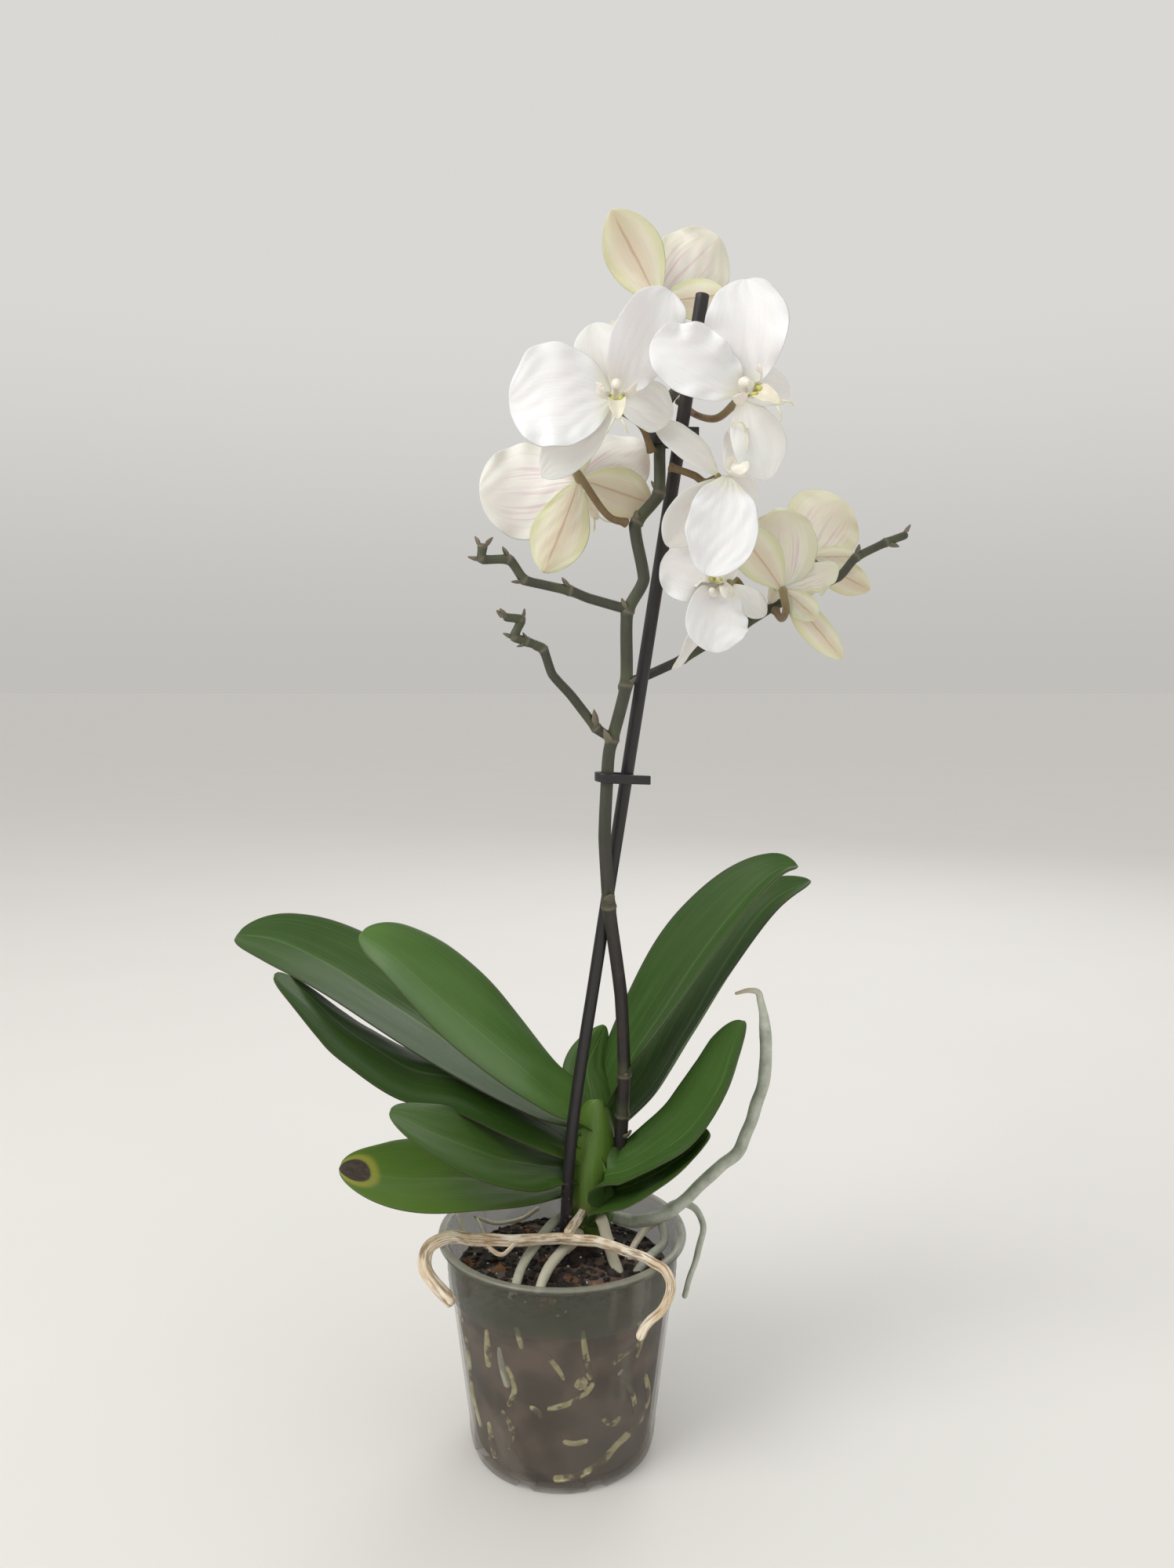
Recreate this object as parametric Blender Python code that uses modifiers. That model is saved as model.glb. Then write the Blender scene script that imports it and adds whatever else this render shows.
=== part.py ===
"""A potted moth orchid: a clear nursery pot, its potting mix, the plant's crown, leaves, roots and branched
flower spike, a support stake with two clips, and eight open flowers. Metres, +Z up, origin at the middle of
the pot's foot."""

import math

import bmesh
import bpy
from mathutils import Matrix, Vector

MM = 0.001

# Pot: a turned shell with a lip, a collar band and a tapered body.
POT_HEIGHT = 0.106
LIP_RADIUS = 0.060
LIP_DEPTH = 0.003
LIP_OVERHANG = 0.0035
COLLAR_TOP_RADIUS = LIP_RADIUS - LIP_OVERHANG
COLLAR_HEIGHT = 0.026
COLLAR_STEP = 0.0010
COLLAR_TAPER = 0.0018
FOOT_RADIUS = LIP_RADIUS * 0.733
WALL = 0.0012
FLOOR = 0.0018
NOTCHES = 8
NOTCH_WIDTH = 0.010
NOTCH_HEIGHT = 0.0032
POT_STEPS = 40

# Potting mix: fills the pot to a little below its lip and rises to a low mound round the crown.
MIX_EDGE_DROP = 0.020
MIX_MOUND = 0.005

GAP = 0.0003
PLUG_GAP = 0.0005

# Stems, in metres, with radii in millimetres.
STAKE_RADIUS = 2.9
SPIKE_RADIUS = 3.3
SPIKE_TIP_RADIUS = 2.2
BRANCH_RADIUS = 2.1
STALK_RADIUS = 1.7
CLIP_WALL = 0.0014
CLIP_ROOM = 1.5

# Thicknesses of the flat pieces.
LEAF_THICKNESS = 0.0022
PETAL_THICKNESS = 0.0009
LEAF_FOOT = 0.45
BLUNT_TIP = 0.12
LEAF_ROWS, LEAF_COLUMNS = 10, 4
PETAL_ROWS, PETAL_COLUMNS = 5, 4

# ---------------------------------------------------------------- scene


def empty_scene():
    for thing in list(bpy.data.objects):
        bpy.data.objects.remove(thing, do_unlink=True)
    parts = bpy.data.collections.new("potted_orchid")
    cutters = bpy.data.collections.new("cutters")
    bpy.context.scene.collection.children.link(parts)
    bpy.context.scene.collection.children.link(cutters)
    return parts, cutters


PARTS, CUTTERS = empty_scene()


def material(name, colour, roughness, alpha=1.0):
    made = bpy.data.materials.new(name)
    made.use_nodes = True
    shader = made.node_tree.nodes["Principled BSDF"]
    shader.inputs["Base Color"].default_value = (*colour, 1.0)
    shader.inputs["Roughness"].default_value = roughness
    shader.inputs["Metallic"].default_value = 0.0
    shader.inputs["Alpha"].default_value = alpha
    return made


def add_part(name, data, colour, roughness=0.5, alpha=1.0):
    part = bpy.data.objects.new(name, data)
    data.materials.append(material(name, colour, roughness, alpha))
    PARTS.objects.link(part)
    return part


def hide_cutter(thing):
    for collection in list(thing.users_collection):
        collection.objects.unlink(thing)
    CUTTERS.objects.link(thing)
    thing.hide_render = True
    thing.display_type = "WIRE"


def boolean(target, other, operation):
    modifier = target.modifiers.new(other.name, "BOOLEAN")
    modifier.operation = operation
    modifier.solver = "EXACT"
    modifier.object = other


# ---------------------------------------------------------------- curves and tubes


def smooth(points, spacing):
    """Points this far apart along a smooth curve through the given points, radius and all."""
    rows = [Vector(point) for point in points]
    ends = [rows[0] * 2 - rows[1]] + rows + [rows[-1] * 2 - rows[-2]]
    made = []
    for a, b, c, d in zip(ends, ends[1:], ends[2:], ends[3:]):
        count = max(1, round((c.xyz - b.xyz).length / spacing))
        for step in range(count):
            t = step / count
            made.append(
                0.5 * (2 * b + (c - a) * t + (2 * a - 5 * b + 4 * c - d) * t * t
                       + (3 * b - a - 3 * c + d) * t ** 3)
            )
    made.append(rows[-1])
    return made


def tube_mesh(name, stations, spacing, extra=0.0):
    """A round tube with flat ends, as a mesh, along stations of x, y, z in metres and radius in mm."""
    curve = bpy.data.curves.new(name, "CURVE")
    curve.dimensions = "3D"
    curve.bevel_depth = MM
    curve.bevel_resolution = 2
    curve.use_fill_caps = True
    points = smooth(stations, spacing)
    spline = curve.splines.new("POLY")
    spline.points.add(len(points) - 1)
    for place, point in zip(spline.points, points):
        place.co = (point[0], point[1], point[2], 1.0)
        place.radius = point[3] + extra
    guide = bpy.data.objects.new(name + "_guide", curve)
    CUTTERS.objects.link(guide)
    graph = bpy.context.evaluated_depsgraph_get()
    mesh = bpy.data.meshes.new_from_object(guide.evaluated_get(graph))
    bpy.data.objects.remove(guide, do_unlink=True)
    welded = bmesh.new()
    welded.from_mesh(mesh)
    bmesh.ops.remove_doubles(welded, verts=welded.verts, dist=1e-6)
    bmesh.ops.recalc_face_normals(welded, faces=welded.faces)
    welded.to_mesh(mesh)
    welded.free()
    mesh.materials.clear()
    mesh.shade_smooth()
    mesh.set_sharp_from_angle(angle=math.radians(50))
    return mesh


def above_lip(points):
    """Points given from the level of the pot's lip, moved to their height above the table."""
    return [(point[0], point[1], point[2] + POT_HEIGHT, *point[3:]) for point in points]


def tube(name, stations, colour, spacing=0.010, roughness=0.5):
    return add_part(name, tube_mesh(name, stations, spacing), colour, roughness)


def cut_tube(target, name, stations, spacing=0.010):
    """Clears a tube's way through another piece, with a little room round it."""
    cutter = bpy.data.objects.new(name, tube_mesh(name, stations, spacing, extra=PLUG_GAP / MM))
    PARTS.objects.link(cutter)
    hide_cutter(cutter)
    boolean(target, cutter, "DIFFERENCE")


# ---------------------------------------------------------------- turned pieces


def turned(name, profile, colour, roughness, alpha=1.0):
    """A closed solid turned about Z from a profile that starts and ends on the axis."""
    mesh = bpy.data.meshes.new(name)
    vertices = [(radius, 0.0, height) for radius, height in profile]
    edges = [(index, index + 1) for index in range(len(vertices) - 1)]
    mesh.from_pydata(vertices, edges, [])
    part = add_part(name, mesh, colour, roughness, alpha)
    screw = part.modifiers.new("turn", "SCREW")
    screw.axis = "Z"
    screw.angle = math.tau
    screw.steps = screw.render_steps = POT_STEPS
    screw.use_merge_vertices = True
    screw.merge_threshold = 1e-5
    return part


COLLAR_BASE = POT_HEIGHT - COLLAR_HEIGHT
COLLAR_BASE_RADIUS = COLLAR_TOP_RADIUS - COLLAR_TAPER
BODY_TOP_RADIUS = COLLAR_BASE_RADIUS - COLLAR_STEP


def inner_radius(height):
    """The pot's inner radius at a height below the collar's lower edge."""
    share = height / COLLAR_BASE
    return FOOT_RADIUS + (BODY_TOP_RADIUS - FOOT_RADIUS) * share - WALL


def make_pot():
    lip_base = POT_HEIGHT - LIP_DEPTH
    profile = [
        (0.0, FLOOR),
        (inner_radius(FLOOR), FLOOR),
        (inner_radius(COLLAR_BASE), COLLAR_BASE),
        (COLLAR_BASE_RADIUS - WALL, COLLAR_BASE + COLLAR_STEP),
        (COLLAR_TOP_RADIUS - WALL, POT_HEIGHT),
        (LIP_RADIUS - LIP_DEPTH / 3, POT_HEIGHT),
        (LIP_RADIUS, POT_HEIGHT - LIP_DEPTH / 3),
        (LIP_RADIUS, lip_base),
        (COLLAR_TOP_RADIUS, lip_base),
        (COLLAR_BASE_RADIUS, COLLAR_BASE),
        (BODY_TOP_RADIUS, COLLAR_BASE - COLLAR_STEP),
        (FOOT_RADIUS, 0.0),
        (0.0, 0.0),
    ]
    pot = turned("pot", profile, (0.22, 0.22, 0.18), 0.3, 0.5)
    for number in range(NOTCHES):
        turn = math.tau * (number + 0.5) / NOTCHES
        mesh = bpy.data.meshes.new(f"notch_{number}")
        box = bmesh.new()
        bmesh.ops.create_cube(box, size=1.0)
        scale = Matrix.Diagonal((4 * WALL + 0.004, NOTCH_WIDTH, 2 * NOTCH_HEIGHT, 1.0))
        bmesh.ops.transform(box, matrix=scale, verts=box.verts)
        box.to_mesh(mesh)
        box.free()
        cutter = bpy.data.objects.new(f"notch_{number}", mesh)
        cutter.location = (FOOT_RADIUS * math.cos(turn), FOOT_RADIUS * math.sin(turn), 0.0)
        cutter.rotation_euler = (0.0, 0.0, turn)
        PARTS.objects.link(cutter)
        hide_cutter(cutter)
        boolean(pot, cutter, "DIFFERENCE")
    return pot


def make_mix():
    """The root ball, set clear of the wall and the floor, with the mound at its middle."""
    top = POT_HEIGHT - MIX_EDGE_DROP
    collar_inner = COLLAR_BASE_RADIUS - WALL
    slope = COLLAR_TAPER / COLLAR_HEIGHT
    edge = collar_inner + (top - COLLAR_BASE) * slope - GAP
    bottom = FLOOR + GAP
    lower = COLLAR_BASE - COLLAR_STEP
    profile = [
        (0.0, bottom),
        (inner_radius(bottom) - 2 * GAP, bottom),
        (inner_radius(lower) - 2 * GAP, lower),
        (inner_radius(COLLAR_BASE) - 2 * GAP, COLLAR_BASE + COLLAR_STEP),
        (edge - 2 * GAP, top),
        (edge * 0.6, top + MIX_MOUND * 0.7),
        (0.0, top + MIX_MOUND),
    ]
    return turned("potting_mix", profile[::-1], (0.045, 0.03, 0.022), 0.95)


# ---------------------------------------------------------------- leaves, petals and sepals

UP = Vector((0.0, 0.0, 1.0))


def blade_outline(share, widest, roundness, foot):
    """Half width, as a share of the greatest, from the foot (0) to the tip (1)."""
    power = math.log(0.5) / math.log(widest)
    swell = max(0.0, math.sin(math.pi * share ** power)) ** roundness
    return max(swell, foot * (1.0 - share))


def blade_mesh(name, path, across, face, half_width, cup, widest=0.6, roundness=0.6, foot=0.3,
               rows=PETAL_ROWS, columns=PETAL_COLUMNS, thickness=PETAL_THICKNESS):
    """A thin curved blade. The path is its midrib, across its width directions at foot and tip, face the way
    its upper side looks, and cup the height in metres that its edges stand above the midrib."""
    fine = smooth([(*point, 0.0) for point in path], 0.002)
    lengths = [0.0]
    for one, two in zip(fine, fine[1:]):
        lengths.append(lengths[-1] + (two.xyz - one.xyz).length)
    surface = bmesh.new()
    grid = []
    for row in range(rows + 1):
        share = math.sin(math.pi / 2 * row / rows)
        reach = min(share * lengths[-1], lengths[-1] * 0.9999)
        index = max(i for i in range(len(fine) - 1) if lengths[i] <= reach)
        span = lengths[index + 1] - lengths[index]
        middle = fine[index].xyz.lerp(fine[index + 1].xyz, (reach - lengths[index]) / span)
        along = (fine[index + 1].xyz - fine[index].xyz).normalized()
        side = Vector(across[0]).lerp(Vector(across[1]), share)
        side = (side - along * side.dot(along)).normalized()
        normal = side.cross(along)
        normal = normal if normal.dot(face) > 0 else -normal
        width = half_width * max(BLUNT_TIP, blade_outline(share, widest, roundness, foot))
        line = []
        for column in range(columns + 1):
            place = 2 * column / columns - 1
            lift = cup * place * place * width / half_width
            line.append(surface.verts.new(middle + side * width * place + normal * lift))
        grid.append(line)
    for lower, upper in zip(grid, grid[1:]):
        for column in range(columns):
            surface.faces.new((lower[column], lower[column + 1], upper[column + 1], upper[column]))
    bmesh.ops.recalc_face_normals(surface, faces=surface.faces)
    bmesh.ops.solidify(surface, geom=surface.faces[:], thickness=thickness)
    bmesh.ops.recalc_face_normals(surface, faces=surface.faces)
    if surface.calc_volume(signed=True) < 0:
        bmesh.ops.reverse_faces(surface, faces=surface.faces)
    mesh = bpy.data.meshes.new(name)
    surface.to_mesh(mesh)
    surface.free()
    mesh.shade_smooth()
    return mesh


# Each leaf: midrib points from the crown to the tip, width directions at foot and tip, half width, and cup.
LEAVES = {
    "leaf_left_1": (
        [(0.004, 0.024, 0.0425), (-0.015, 0.028, 0.0535), (-0.047, 0.038, 0.0730), (-0.089, 0.048, 0.0983),
         (-0.123, 0.055, 0.1178), (-0.149, 0.060, 0.1285), (-0.172, 0.062, 0.1323)],
        ((0, 1, 0.25), (0, 1, 0.42)), 0.029, 0.006),
    "leaf_left_2": (
        [(0.005, 0.018, 0.0503), (-0.008, 0.012, 0.0633), (-0.024, 0.002, 0.0813), (-0.043, -0.012, 0.1033),
         (-0.063, -0.024, 0.1263), (-0.078, -0.030, 0.1423), (-0.090, -0.032, 0.1513)],
        ((0, 1, 0.3), (0, 1, 0.65)), 0.029, 0.006),
    "leaf_left_3": (
        [(0.003, 0.0195, 0.0330), (-0.025, 0.0140, 0.0520), (-0.050, 0.0100, 0.0655), (-0.075, 0.0070, 0.0722),
         (-0.0986, 0.0080, 0.0860), (-0.1122, 0.0100, 0.0957), (-0.1275, 0.0105, 0.1095),
         (-0.141, 0.009, 0.1203)],
        ((0, 1, 0.20), (0, 1, 0.08)), 0.0195, -0.003),
    "leaf_left_4": (
        [(0.004, 0.018, 0.0193), (-0.014, 0.006, 0.0273), (-0.031, -0.012, 0.0378),
         (-0.055, -0.031, 0.0555),
         (-0.077, -0.039, 0.0703)],
        ((0, 1, 0.10), (0, 1, 0.20)), 0.020, 0.002),
    "leaf_left_5": (
        [(0.001, 0.025, 0.0103), (-0.022, 0.010, 0.0173), (-0.049, -0.006, 0.0263),
         (-0.079, -0.019, 0.0323),
         (-0.103, -0.023, 0.0393)],
        ((0, 1, 0.2), (0, 1, 0.3)), 0.025, 0.004),
    "leaf_right_1": (
        [(0.022, 0.028, 0.0443), (0.034, 0.026, 0.0723), (0.051, 0.019, 0.1013), (0.071, 0.014, 0.1343),
         (0.091, 0.012, 0.1603), (0.104, 0.012, 0.1723), (0.114, 0.012, 0.1753)],
        ((-0.1, 1, 0.2), (-0.35, 1, 0.35)), 0.025, 0.008),
    "leaf_right_2": (
        [(0.024, 0.031, 0.0333), (0.047, 0.040, 0.0563), (0.066, 0.044, 0.0873), (0.086, 0.048, 0.1203),
         (0.107, 0.050, 0.1483), (0.128, 0.052, 0.1613)],
        ((-0.1, 1, 0.2), (-0.3, 1, 0.3)), 0.024, 0.007),
    "leaf_right_3": (
        [(0.0220, 0.003, 0.0233), (0.031, -0.003, 0.0273), (0.045, -0.005, 0.0353), (0.062, -0.008, 0.0503),
         (0.075, -0.010, 0.0713), (0.082, -0.008, 0.0893), (0.087, -0.006, 0.1033)],
        ((0, 1, 0.10), (-0.3, 1, 0.1)), 0.020, 0.006),
    "leaf_right_4": (
        [(0.021, 0.011, 0.0103), (0.037, -0.001, 0.0213), (0.054, -0.009, 0.0353), (0.070, -0.014, 0.0523)],
        ((0, 1, 0.2), (0, 1, 0.3)), 0.020, 0.005),
    "leaf_centre": (
        [(0.014, 0.026, 0.0553), (0.012, 0.036, 0.0683), (0.021, 0.044, 0.0873)],
        ((1, 0.1, 0), (1, 0.3, 0)), 0.013, -0.003),
}


def make_leaves():
    for name, (path, across, half_width, cup) in LEAVES.items():
        mesh = blade_mesh(name, above_lip(path), across, UP, half_width, cup, 0.6, 0.55, LEAF_FOOT,
                          LEAF_ROWS, LEAF_COLUMNS, LEAF_THICKNESS)
        add_part(name, mesh, (0.055, 0.16, 0.035), 0.35)


# ---------------------------------------------------------------- stems and stake

CROWN = [(0.0145, 0.019, -0.0257, 6.5), (0.0145, 0.019, -0.0097, 8.5), (0.0145, 0.019, 0.0083, 8.0),
         (0.0145, 0.020, 0.0283, 7.0), (0.0145, 0.021, 0.0443, 5.5), (0.0145, 0.022, 0.0513, 4.0)]
STAKE = [(-0.001, 0.009, -0.0917), (0.001, 0.005, -0.0177), (0.005, -0.002, 0.0503),
         (0.016, -0.010, 0.1283),
         (0.029, -0.019, 0.2153), (0.042, -0.031, 0.3033), (0.060, -0.045, 0.4243)]
SPIKE = [(0.0265, 0.0185, 0.0233), (0.0285, 0.0150, 0.0333), (0.030, 0.006, 0.0733),
         (0.028, -0.004, 0.1163),
         (0.022, -0.0215, 0.1623), (0.020, -0.025, 0.1943), (0.021, -0.029, 0.2213),
         (0.022, -0.031, 0.2343),
         (0.029, -0.037, 0.2623), (0.029, -0.044, 0.2933), (0.036, -0.047, 0.3073), (0.032, -0.049, 0.3293),
         (0.042, -0.048, 0.3423), (0.0425, -0.0450, 0.3603), (0.0430, -0.0435, 0.3713),
         (0.0455, -0.036, 0.3820),
         (0.050, -0.0285, 0.3890), (0.057, -0.0255, 0.3945), (0.067, -0.023, 0.4040),
         (0.075, -0.023, 0.4163), (0.086, -0.023, 0.4343)]
# Each branch: its height on the spike, and its points from there.
BRANCHES = {
    "branch_left_lower": (0.2403, [
        (0.016, -0.033, 0.2440), (0.005, -0.036, 0.2583), (-0.003, -0.040, 0.2673),
        (-0.007, -0.042, 0.2783), (-0.014, -0.044, 0.2813), (-0.019, -0.046, 0.2833),
        (-0.016, -0.046, 0.2903),
        (-0.022, -0.048, 0.2913)]),
    "branch_left_upper": (0.2953, [
        (0.013, -0.047, 0.2993), (0.005, -0.050, 0.3023), (-0.005, -0.053, 0.3043),
        (-0.014, -0.056, 0.3063), (-0.020, -0.058, 0.3143), (-0.031, -0.060, 0.3143),
        (-0.031, -0.060, 0.3193)]),
    "branch_right": (0.2608, [
        (0.0278, -0.025, 0.2618), (0.0305, -0.016, 0.2638), (0.040, -0.015, 0.2673),
        (0.055, -0.017, 0.2743), (0.070, -0.020, 0.2833), (0.082, -0.020, 0.2893), (0.095, -0.020, 0.2973),
        (0.107, -0.020, 0.3033), (0.124, -0.020, 0.3103), (0.132, -0.018, 0.3193), (0.146, -0.016, 0.3263),
        (0.154, -0.016, 0.3293)]),
}


def with_radii(points, first, last, hold=0.0):
    """Adds a radius in millimetres to each point: the first up to the hold share, then evenly to the last."""
    steps = len(points) - 1
    shares = [max(0.0, index / steps - hold) / (1.0 - hold) for index in range(steps + 1)]
    return [(*point, first + (last - first) * share) for point, share in zip(points, shares)]


def point_at(points, height):
    """The point of a rising stem at a height, between its stations."""
    for one, two in zip(points, points[1:]):
        if one[2] <= height <= two[2]:
            return Vector(one).lerp(Vector(two), (height - one[2]) / (two[2] - one[2]))
    return Vector(points[-1])


def branch_start(height, toward):
    """The point just off the spike's skin, at a height, on the side of the branch's next point."""
    middle = point_at(SPIKE, height)
    away = Vector((toward.x - middle.x, toward.y - middle.y, 0.0)).normalized()
    return tuple(middle + away * (SPIKE_RADIUS * MM + PLUG_GAP))


def make_stems():
    tube("crown", above_lip(CROWN), (0.13, 0.26, 0.04), 0.012, 0.45)
    stake = with_radii(above_lip(STAKE), STAKE_RADIUS, STAKE_RADIUS)
    tube("support_stake", stake, (0.015, 0.013, 0.015), 0.030, 0.35)
    spike = with_radii(above_lip(SPIKE), SPIKE_RADIUS, SPIKE_TIP_RADIUS)
    tube("flower_spike", spike, (0.06, 0.06, 0.045), 0.012)
    for name, (height, points) in BRANCHES.items():
        start = branch_start(height, Vector(points[0]))
        branch = with_radii(above_lip([start] + points), BRANCH_RADIUS, BRANCH_RADIUS * 0.8)
        tube(name, branch, (0.06, 0.07, 0.04), 0.012)


# ---------------------------------------------------------------- clips


def band(name, path, tilt_z, height):
    """A flat band of plastic along a path, standing up along Z, its middle rising by tilt_z per metre."""
    wall = bmesh.new()
    low, high = [], []
    for x, y, z in path:
        middle = Vector((x, y, z + tilt_z * (x - path[0][0])))
        low.append(wall.verts.new(middle - Vector((0, 0, height / 2))))
        high.append(wall.verts.new(middle + Vector((0, 0, height / 2))))
    for index in range(len(path) - 1):
        wall.faces.new((low[index], low[index + 1], high[index + 1], high[index]))
    bmesh.ops.recalc_face_normals(wall, faces=wall.faces)
    mesh = bpy.data.meshes.new(name)
    wall.to_mesh(mesh)
    wall.free()
    part = add_part(name, mesh, (0.012, 0.012, 0.013), 0.4)
    shell = part.modifiers.new("wall", "SOLIDIFY")
    shell.thickness = CLIP_WALL
    shell.offset = 0.0
    return part


def make_clip(name, height, band_height, tab, tilt):
    """A clip that closes round the spike and the stake, with a straight finger tab at its front."""
    one, two = point_at(SPIKE, height), point_at(STAKE, height)
    room = (SPIKE_RADIUS + CLIP_ROOM) * MM
    along = Vector((two.x - one.x, two.y - one.y, 0.0)).normalized()
    out = Vector((along.y, -along.x, 0.0))
    path = [two + along * (room + tab) + out * room]
    path.append(two + out * room)
    path.append(one + out * room)
    for step in range(1, 6):
        turn = math.pi * step / 6
        path.append(one + out * room * math.cos(turn) - along * room * math.sin(turn))
    path.append(one - out * room)
    path.append(two - out * room)
    for step in range(1, 4):
        turn = math.pi * step / 6
        path.append(two - out * room * math.cos(turn) + along * room * math.sin(turn))
    flat = [(point.x, point.y, POT_HEIGHT + height) for point in path]
    return band(name, flat, tilt, band_height)


# ---------------------------------------------------------------- roots

ROOTS = {
    "root_over_front": (
        [(-0.050, -0.034, -0.0187), (-0.0585, -0.030, -0.0127), (-0.0635, -0.026, -0.0067),
         (-0.0620, -0.021, 0.0003),
         (-0.055, -0.020, 0.0038), (-0.048, -0.020, 0.0048), (-0.035, -0.022, 0.0043),
         (-0.022, -0.020, 0.0033),
         (-0.008, -0.014, 0.0008), (0.002, -0.012, 0.0003), (0.012, -0.014, 0.0003),
         (0.025, -0.021, 0.0008),
         (0.034, -0.031, 0.0018), (0.041, -0.038, 0.0023), (0.047, -0.043, 0.0018),
         (0.0495, -0.047, -0.0047),
         (0.047, -0.051, -0.0107), (0.040, -0.053, -0.0177), (0.036, -0.054, -0.0237)], 2.1, 1.6),
    "root_aerial": (
        [(0.026, 0.013, -0.0017), (0.034, 0.008, -0.0007), (0.042, 0.004, 0.0018), (0.050, 0.004, 0.0048),
         (0.060, 0.006, 0.0113), (0.070, 0.006, 0.0213), (0.078, 0.006, 0.0283), (0.086, 0.006, 0.0363),
         (0.091, 0.006, 0.0493), (0.097, 0.006, 0.0673), (0.0985, 0.006, 0.0843), (0.098, 0.006, 0.0983),
         (0.096, 0.006, 0.1103), (0.0945, 0.006, 0.1148), (0.089, 0.006, 0.1158),
         (0.084, 0.006, 0.1143)], 2.8, 0.9),
    "root_over_right": (
        [(0.036, -0.010, -0.0177), (0.041, -0.008, -0.0117), (0.0495, 0.001, -0.0077),
         (0.0488, 0.0095, 0.0010),
         (0.0560, 0.0148, 0.0052), (0.062, 0.016, 0.0043), (0.067, 0.015, 0.0013), (0.0695, 0.012, -0.0047),
         (0.068, 0.008, -0.0117), (0.065, 0.004, -0.0197), (0.0615, 0.000, -0.0277),
         (0.0595, -0.003, -0.0327)], 2.0, 1.4),
    "root_front": (
        [(0.0190, 0.0002, 0.0040), (0.0198, 0.000, 0.0020), (0.0215, -0.001, -0.0037),
         (0.024, -0.005, -0.0117),
         (0.028, -0.011, -0.0197), (0.033, -0.020, -0.0297), (0.034, -0.030, -0.0397),
         (0.026, -0.038, -0.0497)], 2.3, 1.7),
    "root_inner_right": (
        [(0.051, 0.016, -0.0027), (0.043, 0.011, -0.0047), (0.036, 0.003, -0.0087),
         (0.0335, 0.001, -0.0147),
         (0.0335, -0.001, -0.0237)], 1.7, 1.5),
    "root_left": (
        [(0.004, 0.015, 0.0003), (-0.004, 0.006, -0.0002), (-0.011, -0.006, -0.0037),
         (-0.018, -0.020, -0.0087),
         (-0.022, -0.031, -0.0167), (-0.0255, -0.0385, -0.0287), (-0.027, -0.040, -0.0417),
         (-0.024, -0.041, -0.0537)],
        2.0, 1.5),
    "root_pale": (
        [(0.0080, 0.0045, -0.0052), (0.004, -0.004, -0.0067), (-0.004, -0.016, -0.0092),
         (-0.009, -0.028, -0.0137),
         (-0.010, -0.036, -0.0227), (-0.006, -0.0445, -0.0337), (0.003, -0.0465, -0.0437),
         (0.012, -0.0445, -0.0537)],
        2.3, 1.6),
    "root_thin": (
        [(-0.013, 0.031, -0.0052), (-0.020, 0.031, -0.0097), (-0.028, 0.030, -0.0117),
         (-0.035, 0.030, -0.0122),
         (-0.045, 0.029, -0.0087)], 1.0, 0.8),
}
AERIAL_HOLD = 0.75
CROWN_REACH = 0.030
ROOT_ROOM = 0.030
ROOTS_IN_MIX = ("root_over_right", "root_front", "root_inner_right", "root_left", "root_pale")


def spread(points):
    """Root points beyond the crown, moved out or in with the pot's wall."""
    moved = []
    for x, y, height in points:
        away = math.hypot(x, y)
        outer = max(0.0, away - CROWN_REACH)
        share = 1.0 + outer / away * ((LIP_RADIUS - CROWN_REACH) / ROOT_ROOM - 1.0)
        moved.append((x * share, y * share, height))
    return moved


def make_roots(mix):
    ways = {}
    for name, (points, first, last) in ROOTS.items():
        hold = AERIAL_HOLD if name == "root_aerial" else 0.0
        ways[name] = with_radii(above_lip(spread(points)), first, last, hold)
        tube(name, ways[name], (0.55, 0.47, 0.33), 0.009, 0.8)
    for name in ROOTS_IN_MIX:
        cut_tube(mix, name + "_way", ways[name], 0.009)
    cut_tube(mix, "crown_way", above_lip(CROWN), 0.012)
    lowest = with_radii(above_lip(STAKE[:3]), STAKE_RADIUS, STAKE_RADIUS)
    cut_tube(mix, "stake_way", lowest, 0.030)


# ---------------------------------------------------------------- flowers

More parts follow.
